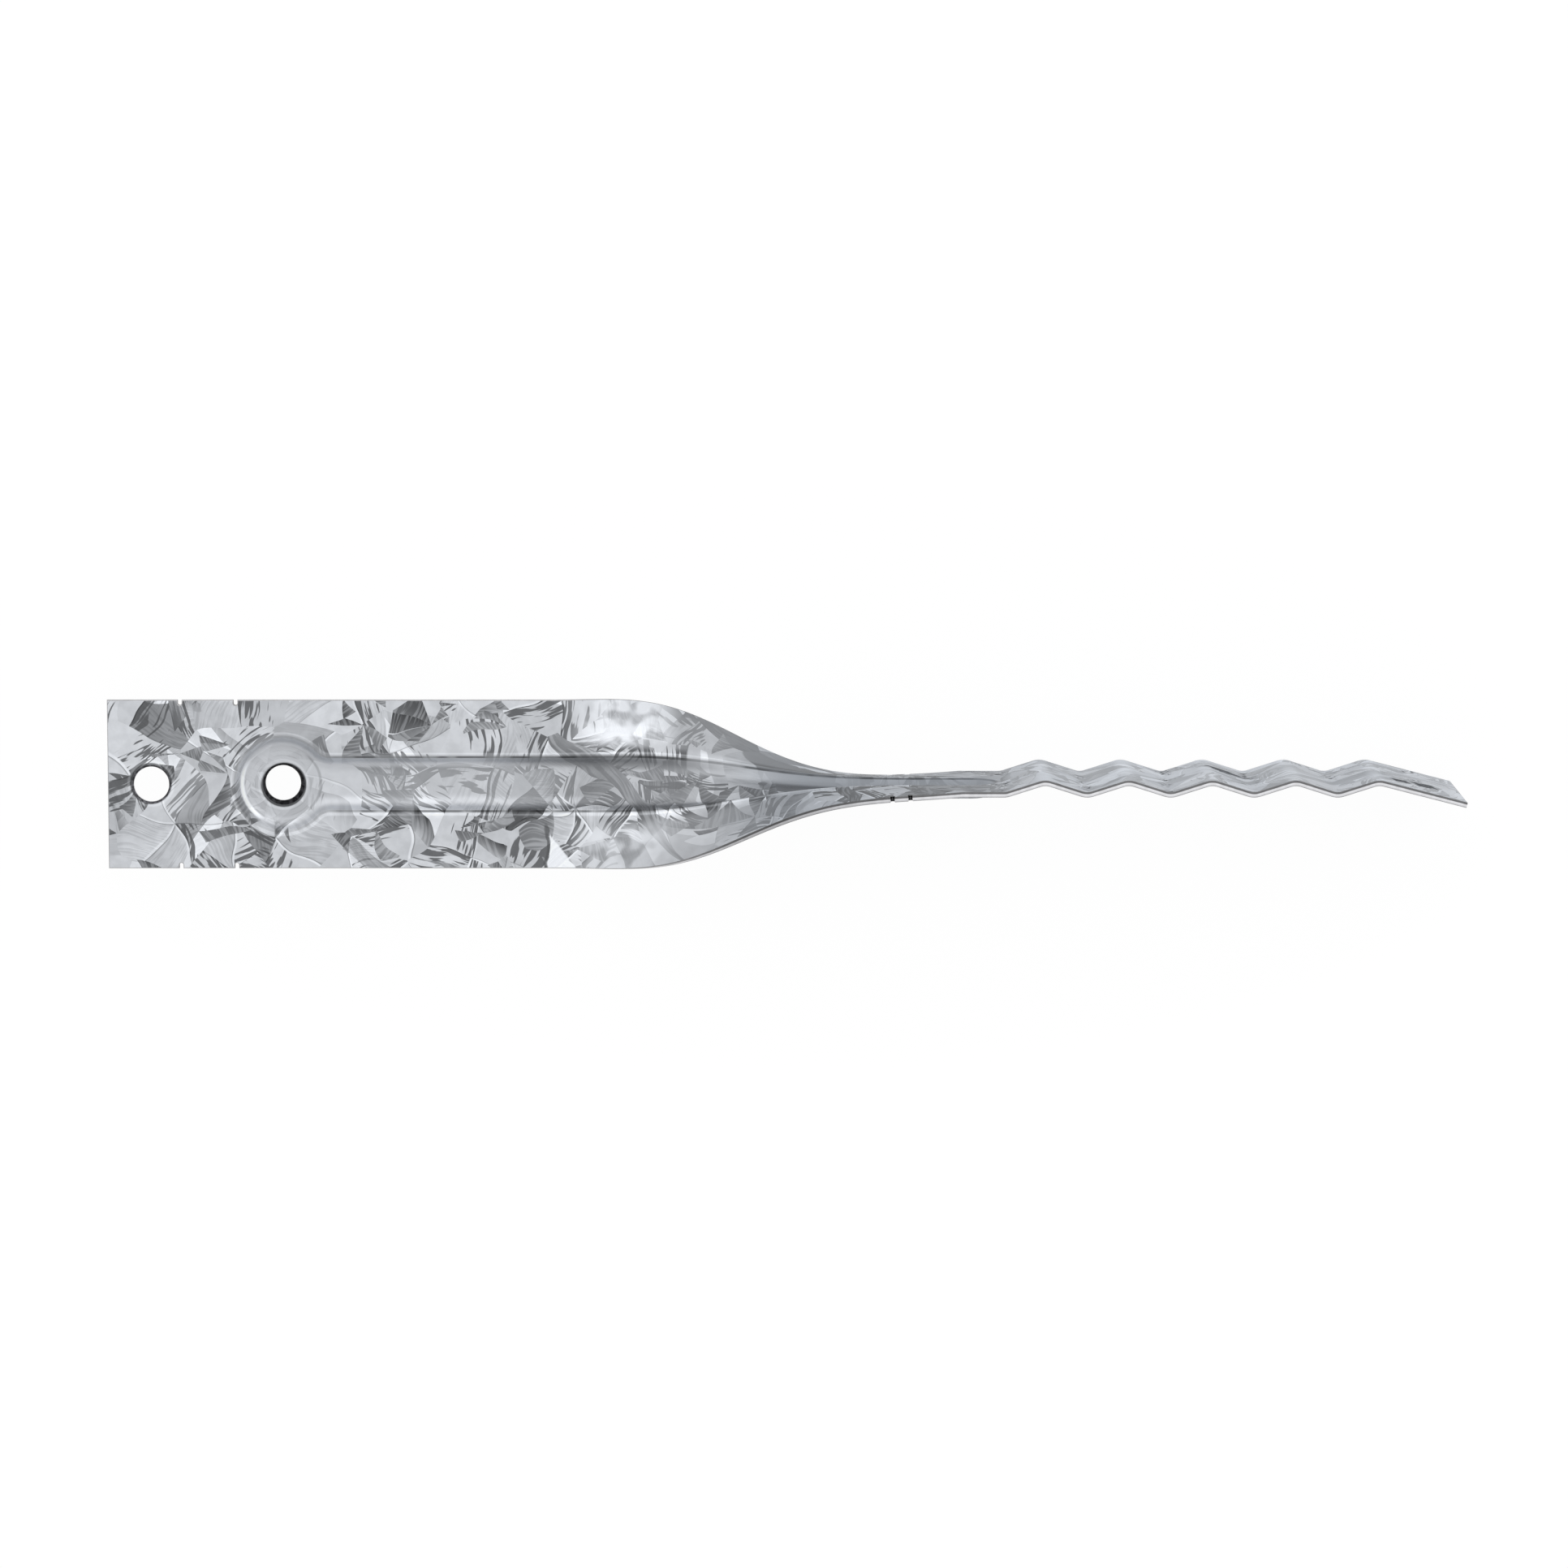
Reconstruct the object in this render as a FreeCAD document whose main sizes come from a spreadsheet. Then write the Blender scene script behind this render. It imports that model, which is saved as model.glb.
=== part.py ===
import FreeCAD, Part
import math
import os
import Sketcher

# Twisted veneer tie: one pressed strip of galvanised sheet steel.
# X runs along the strip from its flat nailing end to its crimped tail. The nailing end lies flat with its
# recessed face up (+Z), and the tail stands on edge with that face turned to +Y. The origin is the centre of
# the end nail hole, in the middle of the sheet.

SIZES = {
    # Strip
    "sheet": 0.8,
    "strip_width": 25.0,
    "plate_length": 65.9,
    "twist_length": 59.7,
    "crown_angle": 9.0,
    # Break-off tabs that join such ties edge to edge, each between two notches
    "plate_tab_reach": 10.7,
    "plate_tab_width": 8.2,
    "tail_tab_reach": 115.4,
    "tail_tab_width": 2.6,
    "notch_width": 0.6,
    "notch_depth": 0.8,
    # Nail holes
    "end_margin": 6.4,
    "hole_spacing": 19.3,
    "nail_hole": 5.2,
    "pierced_edge": 0.3,
    "dish_pierced_edge": 0.5,
    # Pressed dish and stiffening bead
    "dish_width": 14.2,
    "neck_radius": 2.5,
    "bead_width": 8.1,
    "bead_depth": 1.5,
    "bead_draft": 40.0,
    "bead_rim": 0.2,
    "bead_floor": 2.0,
    "bead_run": 1.3,
    "bead_end_gap": 0.2,
    # Crimped tail
    "crimp_count": 5,
    "crimp_pitch": 12.15,
    "crimp_rise": 1.68,
    "crimp_inside": 2.2,
    "tip_run": 12.8,
    "tip_angle": 14.5,
}

# Form of the bead: its wall leans by the draft, and a corner of radius r starts r * CORNER from its tip
CORNER = "tan(45 - sizes.bead_draft / 2)"
RIM_OUTSIDE = "(sizes.bead_rim + sizes.sheet)"
FLOOR_OUTSIDE = "(sizes.bead_floor + sizes.sheet)"
BACK_OFFSET = f"(sizes.sheet * {CORNER})"
RIM_REACH = f"(sizes.bead_width / 2 + {RIM_OUTSIDE} * {CORNER})"
FLOOR_REACH = (
    "(sizes.bead_width / 2 - sizes.bead_depth * tan(sizes.bead_draft)"
    f" - sizes.bead_floor * {CORNER})"
)

# Stations along the strip, as expressions of the driving sizes
TWIST_START = "(sizes.plate_length - sizes.end_margin)"
TWIST_END = f"({TWIST_START} + sizes.twist_length)"
BEAD_STOP = f"({TWIST_END} + sizes.bead_run)"
CRIMP_START = f"({BEAD_STOP} + {RIM_REACH} + sizes.bead_end_gap)"
TIP_START = f"({CRIMP_START} + (sizes.crimp_count - 1) * sizes.crimp_pitch)"

# Bend radii of the crimps, and reaches that carry a cut clear of the sheet
CRIMP_MIDDLE = "(sizes.crimp_inside + sizes.sheet / 2)"
CRIMP_OUTSIDE = "(sizes.crimp_inside + sizes.sheet)"
OVERRUN = "(2 * sizes.bead_depth)"
PRESS_SPAN = "(4 * (sizes.sheet + sizes.bead_depth))"

# How the twist is drawn: its turn, its sections, how soon it settles, and how its flanges come in and go out
QUARTER_TURN = 90
TWIST_STEPS = 10
TWIST_SETTLE = 4.8
CROWN_COMES = 3
CROWN_GOES = 4

TOUCH = 1e-4

# Numbers that a sketch uses for its origin and for the points of an edge
START, END, CENTRE = range(1, 4)
ORIGIN = -START

doc = FreeCAD.newDocument("veneer_tie")
sheet = doc.addObject("Spreadsheet::Sheet", "sizes")
for row, (alias, size) in enumerate(SIZES.items(), start=1):
    sheet.set(f"A{row}", alias)
    sheet.set(f"B{row}", str(size))
    sheet.setAlias(f"B{row}", alias)
doc.recompute()

body = doc.addObject("PartDesign::Body", "tie_body")
body.Label = "veneer_tie"
body.Placement = FreeCAD.Placement()


def value(expression):
    """The present number of an expression of the sizes."""
    return float(sheet.evalExpression(expression))


def new_sketch(name, role, level=None, turn=None):
    """A sketch on one of the body's origin planes, lifted along its normal and turned clockwise in it."""
    made = body.newObject("Sketcher::SketchObject", name)
    plane = next(f for f in body.Origin.OriginFeatures if f.Role == role)
    made.AttachmentSupport = [(plane, "")]
    made.MapMode = "FlatFace"
    if turn:
        clockwise = FreeCAD.Rotation(FreeCAD.Vector(0, 0, -1), value(turn))
        made.AttachmentOffset = FreeCAD.Placement(FreeCAD.Vector(), clockwise)
        made.setExpression("AttachmentOffset.Rotation.Angle", turn)
    if level:
        made.setExpression("AttachmentOffset.Base.z", level)
    return made


def bind(made, kind, refs, expression):
    """A dimension of a sketch, bound to an expression of the sizes."""
    size = value(expression)
    if kind == "Angle":
        size = math.radians(size)
    index = made.addConstraint(Sketcher.Constraint(kind, *refs, size))
    made.setExpression(f"Constraints[{index}]", expression)


def place(made, geometry, position, across=None, up=None):
    """Dimensions a point of a sketch from the sketch's origin."""
    if across:
        bind(made, "DistanceX", (ORIGIN, START, geometry, position), across)
    if up:
        bind(made, "DistanceY", (ORIGIN, START, geometry, position), up)


def add_line(made, start, end):
    """A straight edge between two points given as pairs."""
    points = [FreeCAD.Vector(*pair, 0) for pair in (start, end)]
    return made.addGeometry(Part.LineSegment(*points))


def add_arc(made, centre, radius, first, last):
    """An arc given by its centre, radius and its first and last angle in degrees, anticlockwise."""
    circle = Part.Circle(FreeCAD.Vector(*centre, 0), FreeCAD.Vector(0, 0, 1), radius)
    return made.addGeometry(Part.ArcOfCircle(circle, math.radians(first), math.radians(last)))


def arc_point(centre, radius, angle):
    """The point of a circle at an angle in degrees."""
    turn = math.radians(angle)
    return (centre[0] + radius * math.cos(turn), centre[1] + radius * math.sin(turn))


def join(made, kind, *refs):
    """A relation between parts of a sketch."""
    made.addConstraint(Sketcher.Constraint(kind, *refs))


def rectangle(made, left, right, half):
    """A rectangle about the sketch's horizontal axis, between two stations."""
    x0, x1, y = value(left), value(right), value(half)
    corners = [(x0, -y), (x1, -y), (x1, y), (x0, y)]
    sides = [add_line(made, corners[i], corners[(i + 1) % 4]) for i in range(4)]
    for i, side in enumerate(sides):
        join(made, "Coincident", side, END, sides[(i + 1) % 4], START)
        join(made, "Vertical" if i % 2 else "Horizontal", side)
    place(made, sides[0], START, left, f"-{half}")
    place(made, sides[2], START, right, half)


def finish(feature):
    """Builds a feature and makes it the body's latest step."""
    body.Tip = feature
    doc.recompute()
    return feature


def extrude(kind, name, made, length, taper, symmetric, backwards):
    """A sketch carried along its normal, raised or cut as the kind says."""
    feature = body.newObject(f"PartDesign::{kind}", name)
    feature.Profile = made
    feature.setExpression("Length", length)
    if symmetric:
        feature.SideType = "Symmetric"
    if taper:
        feature.setExpression("TaperAngle", taper)
    feature.Reversed = backwards
    return finish(feature)


def pad(name, made, length, taper=None, symmetric=False, backwards=False):
    """A sketch raised into the solid."""
    return extrude("Pad", name, made, length, taper, symmetric, backwards)


def pocket(name, made, length, taper=None, symmetric=False, backwards=False):
    """A sketch cut from the solid, refused if it cuts nothing."""
    before = body.Shape.Volume
    feature = extrude("Pocket", name, made, length, taper, symmetric, backwards)
    if feature.Shape.Volume > before - TOUCH:
        raise RuntimeError(f"{name} cuts nothing")
    return feature


def round_edges(name, chosen, radius):
    """Rounds the edges of the present solid that a test chooses."""
    base = body.Tip
    edges = [f"Edge{i}" for i, edge in enumerate(base.Shape.Edges, start=1) if chosen(edge.BoundBox)]
    if not edges:
        raise RuntimeError(f"{name} finds no edge")
    feature = body.newObject("PartDesign::Fillet", name)
    feature.Base = (base, edges)
    feature.setExpression("Radius", radius)
    return finish(feature)


def near(a, b):
    """True for two lengths that are the same."""
    return abs(a - b) < TOUCH


def flat_at(box, axis, level):
    """True for an edge's box that lies flat at a level of an axis."""
    return near(getattr(box, f"{axis}Min"), level) and near(getattr(box, f"{axis}Max"), level)


def round_press(name, axis, first, last):
    """Rounds the rim, floor, crown and root of the pressed form between two stations of a flat stretch."""
    across = "Y" if axis == "Z" else "Z"
    edge = value("sizes.strip_width / 2")
    start, stop = value(first), value(last)

    def inside(box, level):
        clear = getattr(box, f"{across}Max") < edge - TOUCH and getattr(box, f"{across}Min") > TOUCH - edge
        cut = near(box.XMin, box.XMax) and (near(box.XMin, start) or near(box.XMin, stop))
        within = box.XMin > start - TOUCH and box.XMax < stop + TOUCH
        return flat_at(box, axis, level) and clear and within and not cut

    face = value("sizes.sheet / 2")
    depth = value("sizes.bead_depth")
    round_edges(f"{name}_root", lambda box: inside(box, -face), "sizes.bead_rim")
    round_edges(f"{name}_crown", lambda box: inside(box, -face - depth), FLOOR_OUTSIDE)
    round_edges(f"{name}_rim", lambda box: inside(box, face), RIM_OUTSIDE)
    round_edges(f"{name}_floor", lambda box: inside(box, face - depth), "sizes.bead_floor")


def keyhole_outline(made, grow, last):
    """Plan of the dish and the bead that leaves it, with a rounded neck on each side."""
    dish = f"(sizes.dish_width / 2 + {grow})"
    half = f"(sizes.bead_width / 2 + {grow})"
    neck = f"(sizes.neck_radius - {grow})"
    dish_r, half_w, neck_r = value(dish), value(half), value(neck)
    middle = value("sizes.hole_spacing")
    neck_y = half_w + neck_r
    neck_x = math.sqrt((dish_r + neck_r) ** 2 - neck_y**2)
    bearing = math.degrees(math.atan2(neck_y, neck_x))
    stop = value(last)
    round_dish = add_arc(made, (middle, 0), dish_r, bearing, 360 - bearing)
    upper_neck = add_arc(made, (middle + neck_x, neck_y), neck_r, 180 + bearing, 270)
    lower_neck = add_arc(made, (middle + neck_x, -neck_y), neck_r, 90, 180 - bearing)
    upper = add_line(made, (middle + neck_x, half_w), (stop, half_w))
    close = add_line(made, (stop, half_w), (stop, -half_w))
    lower = add_line(made, (stop, -half_w), (middle + neck_x, -half_w))
    join(made, "Tangent", round_dish, START, upper_neck, START)
    join(made, "Tangent", upper_neck, END, upper, START)
    join(made, "Coincident", upper, END, close, START)
    join(made, "Coincident", close, END, lower, START)
    join(made, "Tangent", lower, END, lower_neck, START)
    join(made, "Tangent", lower_neck, END, round_dish, END)
    join(made, "Horizontal", upper)
    join(made, "Horizontal", lower)
    join(made, "Vertical", close)
    join(made, "Equal", upper_neck, lower_neck)
    place(made, round_dish, CENTRE, "sizes.hole_spacing", "0")
    bind(made, "Radius", (round_dish,), dish)
    bind(made, "Radius", (upper_neck,), neck)
    place(made, upper, END, last, half)
    place(made, lower, START, None, f"-{half}")


def round_end_outline(made, grow, first):
    """Plan of the bead's last stretch and its round end."""
    half = f"(sizes.bead_width / 2 + {grow})"
    half_w, start, stop = value(half), value(first), value(BEAD_STOP)
    cap = add_arc(made, (stop, 0), half_w, -90, 90)
    upper = add_line(made, (stop, half_w), (start, half_w))
    close = add_line(made, (start, half_w), (start, -half_w))
    lower = add_line(made, (start, -half_w), (stop, -half_w))
    join(made, "Tangent", cap, END, upper, START)
    join(made, "Coincident", upper, END, close, START)
    join(made, "Coincident", close, END, lower, START)
    join(made, "Tangent", lower, END, cap, START)
    join(made, "Horizontal", upper)
    join(made, "Vertical", close)
    place(made, cap, CENTRE, BEAD_STOP, "0")
    bind(made, "Radius", (cap,), half)
    place(made, close, START, first)


def notch_outline(made, station, edge, inward):
    """Plan of a notch with a round bottom that runs in from a long edge of the strip."""
    half = "sizes.notch_width / 2"
    bottom = f"{edge} + {inward} * (sizes.notch_depth - {half})"
    mouth = f"{edge} - {inward} * sizes.notch_depth"
    radius, middle, low, high = value(half), value(station), value(bottom), value(mouth)
    first = 180 if inward < 0 else 0
    round_part = add_arc(made, (middle, low), radius, first, first + 180)
    ends = [point_of(made, round_part, END), point_of(made, round_part, START)]
    leaving = add_line(made, ends[0], (ends[0][0], high))
    across = add_line(made, (ends[0][0], high), (ends[1][0], high))
    coming = add_line(made, (ends[1][0], high), ends[1])
    join(made, "Tangent", round_part, END, leaving, START)
    join(made, "Coincident", leaving, END, across, START)
    join(made, "Coincident", across, END, coming, START)
    join(made, "Tangent", coming, END, round_part, START)
    join(made, "Vertical", leaving)
    join(made, "Horizontal", across)
    bind(made, "Radius", (round_part,), half)
    place(made, round_part, CENTRE, station, bottom)
    place(made, across, END, None, mouth)


def cut_notches(name, role, reach, width):
    """Cuts the notches at both ends of the break-off tabs of both long edges."""
    made = new_sketch(f"{name}_outline", role)
    for station in (f"{reach} - sizes.end_margin", f"{reach} + {width} - sizes.end_margin"):
        for inward in (1, -1):
            notch_outline(made, station, f"{-inward} * sizes.strip_width / 2", inward)
    pocket(name, made, PRESS_SPAN, symmetric=True)


def strip_section(name, station, turn=None, lean=None):
    """Cross-section of the strip with its bead, as one closed line of straight edges and tangent arcs.

    Each face of the sheet has a flat bed and, on each side, a floor arc, a wall, a rim arc and a flange.
    The two faces share the centres of their arcs, so the sheet has one thickness all round."""
    made = new_sketch(name, "YZ_Plane", station, turn)
    rim_level = "-(sizes.sheet / 2 + sizes.bead_rim)"
    floor_level = "(sizes.sheet / 2 - sizes.bead_depth + sizes.bead_floor)"
    flange_width = f"(sizes.strip_width / 2 - {RIM_REACH})"
    rim_x, rim_y = value(RIM_REACH), value(rim_level)
    floor_x, floor_y = value(FLOOR_REACH), value(floor_level)
    wall, slope, width = value("sizes.bead_draft"), value(lean) if lean else 0.0, value(flange_width)
    fall = math.radians(slope)
    flanges = {}
    for face, rim_radius, floor_radius in (
        ("recessed", RIM_OUTSIDE, "sizes.bead_floor"),
        ("back", "sizes.bead_rim", FLOOR_OUTSIDE),
    ):
        rim_r, floor_r = value(rim_radius), value(floor_radius)
        bed = add_line(made, (-floor_x, floor_y - floor_r), (floor_x, floor_y - floor_r))
        for side, sign, near_end, far_end in ((-1, "-", START, END), (1, "", END, START)):
            rim_c, floor_c = (side * rim_x, rim_y), (side * floor_x, floor_y)
            flange_angle = 90 - side * slope
            wall_angle = 90 + side * (90 - wall)
            rim = add_arc(made, rim_c, rim_r, *sorted((flange_angle, wall_angle)))
            floor = add_arc(made, floor_c, floor_r, *sorted((270, wall_angle + 180)))
            foot = arc_point(floor_c, floor_r, wall_angle + 180)
            wall_line = add_line(made, arc_point(rim_c, rim_r, wall_angle), foot)
            root = arc_point(rim_c, rim_r, flange_angle)
            edge = (root[0] + side * width * math.cos(fall), root[1] - width * math.sin(fall))
            flange = add_line(made, root, edge)
            join(made, "Tangent", flange, START, rim, far_end)
            join(made, "Tangent", rim, near_end, wall_line, START)
            join(made, "Tangent", wall_line, END, floor, near_end)
            join(made, "Tangent", floor, far_end, bed, near_end)
            bind(made, "Radius", (rim,), rim_radius)
            bind(made, "Radius", (floor,), floor_radius)
            place(made, rim, CENTRE, f"{sign}{RIM_REACH}", rim_level)
            place(made, floor, CENTRE, f"{sign}{FLOOR_REACH}", floor_level)
            flanges[face, side] = flange
    for side in (-1, 1):
        outer, inner = flanges["recessed", side], flanges["back", side]
        cut = add_line(made, point_of(made, outer, END), point_of(made, inner, END))
        join(made, "Coincident", outer, END, cut, START)
        join(made, "Coincident", inner, END, cut, END)
        join(made, "Perpendicular", outer, cut)
        bind(made, "Distance", (outer, START, outer, END), flange_width)
        if lean:
            bind(made, "Angle", (outer,), f"-({lean})" if side > 0 else f"180 + ({lean})")
        else:
            join(made, "Horizontal", outer)
    return made


def crest_edges(made, first, fall):
    """Both faces of the sheet from a trough up and over the next crest, which then falls at an angle.

    Each face is a trough arc, a straight flank and a crest arc, and the two faces share their centres."""
    middle, rise = value(CRIMP_MIDDLE), value("sizes.crimp_rise")
    run, drop = value("sizes.crimp_pitch / 2"), 2 * middle - rise
    slope = math.degrees(math.asin(2 * middle / math.hypot(run, drop)) - math.atan2(drop, run))
    trough_c = (value(first), middle)
    crest_c = (trough_c[0] + run, rise - middle)
    radii = ("sizes.crimp_inside", CRIMP_OUTSIDE)
    faces = []
    for trough_radius, crest_radius in (radii, radii[::-1]):
        trough_r, crest_r = value(trough_radius), value(crest_radius)
        trough = add_arc(made, trough_c, trough_r, 270, 270 + slope)
        crest = add_arc(made, crest_c, crest_r, 90 - (fall or slope), 90 + slope)
        foot = arc_point(trough_c, trough_r, 270 + slope)
        flank = add_line(made, foot, arc_point(crest_c, crest_r, 90 + slope))
        join(made, "Tangent", trough, END, flank, START)
        join(made, "Tangent", flank, END, crest, END)
        join(made, "Vertical", trough, START, trough, CENTRE)
        bind(made, "Radius", (trough,), trough_radius)
        bind(made, "Radius", (crest,), crest_radius)
        place(made, trough, CENTRE, first, CRIMP_MIDDLE)
        place(made, crest, CENTRE, f"{first} + sizes.crimp_pitch / 2", f"sizes.crimp_rise - {CRIMP_MIDDLE}")
        faces.append((trough, crest, crest_c, crest_r, slope))
    cut = add_line(made, point_of(made, faces[0][0], START), point_of(made, faces[1][0], START))
    join(made, "Coincident", faces[0][0], START, cut, START)
    join(made, "Coincident", faces[1][0], START, cut, END)
    return faces


def wave_outline(made):
    """Side view of one crimp, from trough to trough."""
    last = f"({CRIMP_START} + sizes.crimp_pitch)"
    trough_c = (value(last), value(CRIMP_MIDDLE))
    troughs = []
    for trough_l, crest, crest_c, crest_r, slope in crest_edges(made, CRIMP_START, None):
        trough_r = made.Geometry[trough_l].Radius
        trough = add_arc(made, trough_c, trough_r, 270 - slope, 270)
        foot = arc_point(trough_c, trough_r, 270 - slope)
        flank = add_line(made, arc_point(crest_c, crest_r, 90 - slope), foot)
        join(made, "Tangent", crest, START, flank, START)
        join(made, "Tangent", flank, END, trough, START)
        join(made, "Equal", trough_l, trough)
        join(made, "Vertical", trough, END, trough, CENTRE)
        place(made, trough, CENTRE, last, CRIMP_MIDDLE)
        troughs.append(trough)
    cut = add_line(made, *(point_of(made, trough, END) for trough in troughs))
    join(made, "Coincident", troughs[0], END, cut, START)
    join(made, "Coincident", troughs[1], END, cut, END)


def tip_outline(made):
    """Side view of the last crest and the straight run down to the cut end of the strip."""
    fall = value("sizes.tip_angle")
    turn = math.radians(fall)
    runs = []
    for _, crest, crest_c, crest_r, _ in crest_edges(made, TIP_START, fall):
        top = arc_point(crest_c, crest_r, 90 - fall)
        length = (value("sizes.tip_run") - value(CRIMP_OUTSIDE) * math.sin(turn)) / math.cos(turn)
        foot = (top[0] + length * math.cos(turn), top[1] - length * math.sin(turn))
        run = add_line(made, top, foot)
        join(made, "Tangent", crest, START, run, START)
        runs.append(run)
    cut = add_line(made, *(point_of(made, run, END) for run in runs))
    join(made, "Coincident", runs[0], END, cut, START)
    join(made, "Coincident", runs[1], END, cut, END)
    join(made, "Parallel", *runs)
    join(made, "Perpendicular", runs[0], cut)
    bind(made, "Angle", (runs[0],), "-sizes.tip_angle")
    place(made, runs[0], END, f"{TIP_START} + sizes.crimp_pitch / 2 + sizes.tip_run")


def point_of(made, geometry, position):
    """An end of a sketch's edge, as a pair."""
    point = made.getPoint(geometry, position)
    return (point.x, point.y)


# Nailing plate
outline = new_sketch("plate_outline", "XY_Plane")
rectangle(outline, "-sizes.end_margin", TWIST_START, "sizes.strip_width / 2")
pad("plate", outline, "sizes.sheet", symmetric=True)

# Dish and bead pressed through the plate: the bulge below, then the recess above
run_out = f"({TWIST_START} + {OVERRUN})"
bulge = new_sketch("bulge_outline", "XY_Plane", "-sizes.sheet / 2")
keyhole_outline(bulge, BACK_OFFSET, run_out)
pad("bulge", bulge, "sizes.bead_depth", "-sizes.bead_draft", backwards=True)
trim = new_sketch("bulge_trim", "XY_Plane")
rectangle(trim, TWIST_START, run_out, "sizes.strip_width / 2")
pocket("bulge_end", trim, PRESS_SPAN, symmetric=True)
recess = new_sketch("recess_outline", "XY_Plane", "sizes.sheet / 2")
keyhole_outline(recess, "0", run_out)
pocket("recess", recess, "sizes.bead_depth", "-sizes.bead_draft")
round_press("dish", "Z", "-sizes.end_margin", TWIST_START)

# Nail holes, with the edge that the punch rolls over on the recessed face
holes = new_sketch("nail_holes_outline", "XY_Plane")
for station in ("0", "sizes.hole_spacing"):
    centre = FreeCAD.Vector(value(station), 0, 0)
    circle = Part.Circle(centre, FreeCAD.Vector(0, 0, 1), value("sizes.nail_hole / 2"))
    ring = holes.addGeometry(circle)
    place(holes, ring, CENTRE, station, "0")
    bind(holes, "Diameter", (ring,), "sizes.nail_hole")
pocket("nail_holes", holes, PRESS_SPAN, symmetric=True)
for name, level, edge_radius in (
    ("end_hole_edge", "sizes.sheet / 2", "sizes.pierced_edge"),
    ("dish_hole_edge", "sizes.sheet / 2 - sizes.bead_depth", "sizes.dish_pierced_edge"),
):
    top, wide = value(level), value("sizes.nail_hole")
    round_edges(name, lambda box: near(box.YLength, wide) and flat_at(box, "Z", top), edge_radius)

# Shank: the strip on edge, where the bead runs out in a round end
strip = new_sketch("shank_outline", "XZ_Plane")
rectangle(strip, TWIST_END, CRIMP_START, "sizes.strip_width / 2")
pad("shank", strip, "sizes.sheet", symmetric=True)
run_in = f"({TWIST_END} - {OVERRUN})"
bulge = new_sketch("round_end_bulge", "XZ_Plane", "sizes.sheet / 2")
round_end_outline(bulge, BACK_OFFSET, run_in)
pad("bead_end_bulge", bulge, "sizes.bead_depth", "-sizes.bead_draft")
trim = new_sketch("round_end_trim", "XZ_Plane")
rectangle(trim, run_in, TWIST_END, "sizes.strip_width / 2")
pocket("bead_end_start", trim, PRESS_SPAN, symmetric=True)
recess = new_sketch("round_end_recess", "XZ_Plane", "-sizes.sheet / 2")
round_end_outline(recess, "0", run_in)
pocket("bead_end_recess", recess, "sizes.bead_depth", "-sizes.bead_draft", backwards=True)
round_press("bead_end", "Y", TWIST_END, CRIMP_START)

# Crimped tail: one wave of the sheet, repeated, and the last crest with its straight tip
wave = new_sketch("wave_outline", "XY_Plane")
wave_outline(wave)
crimp = pad("crimp", wave, "sizes.strip_width", symmetric=True)
crimps = body.newObject("PartDesign::LinearPattern", "crimps")
crimps.Originals = [crimp]
crimps.Direction = (wave, ["H_Axis"])
crimps.Mode = "Spacing"
crimps.setExpression("Offset", "sizes.crimp_pitch")
crimps.setExpression("Occurrences", "sizes.crimp_count - 1")
finish(crimps)
tip = new_sketch("tip_outline", "XY_Plane")
tip_outline(tip)
pad("tip", tip, "sizes.strip_width", symmetric=True)

# Quarter twist: the beaded section carried along the strip while it turns and its flanges lean back a little
sections = []
for step in range(TWIST_STEPS + 1):
    part = step / TWIST_STEPS
    turn = str(QUARTER_TURN * (1 - (1 - part**2) ** TWIST_SETTLE)) if step else None
    crowned = (1 - (1 - part) ** CROWN_COMES) * (1 - part**CROWN_GOES)
    lean = f"sizes.crown_angle * {crowned}" if crowned else None
    station = f"{TWIST_START} + sizes.twist_length * {part}"
    sections.append(strip_section(f"twist_section_{step}", station, turn, lean))
twist = body.newObject("PartDesign::AdditiveLoft", "twist")
twist.Profile = sections[0]
twist.Sections = sections[1:]
finish(twist)

# Notches at the ends of the break-off tabs
cut_notches("plate_notches", "XY_Plane", "sizes.plate_tab_reach", "sizes.plate_tab_width")
cut_notches("tail_notches", "XZ_Plane", "sizes.tail_tab_reach", "sizes.tail_tab_width")

# Every step has to build, and the strip has to be one sound solid
for item in doc.Objects:
    if "Invalid" in item.State or "Error" in item.State:
        raise RuntimeError(f"{item.Name} failed: {item.State}")
shape = body.Shape
if shape.isNull() or not shape.isValid() or len(shape.Solids) != 1:
    raise RuntimeError(f"{body.Label} is not one sound solid")

os.makedirs("parts", exist_ok=True)
shape.exportStep(f"parts/{body.Label}.step")
print(body.Label, "volume", round(shape.Volume, 1), "mm3, box", shape.BoundBox)
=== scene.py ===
# %% [markdown]
# # A twisted veneer tie
# The tie is one strip of galvanised steel. A machine shears it, punches two nail holes, presses a dish and a
# channel, gives it a quarter twist and crimps the tail. This lesson follows the same order, because a mesh that is
# formed as the sheet was formed keeps its zinc pattern, its even thickness and its soft bends without any repair.

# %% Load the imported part
import math

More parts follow.
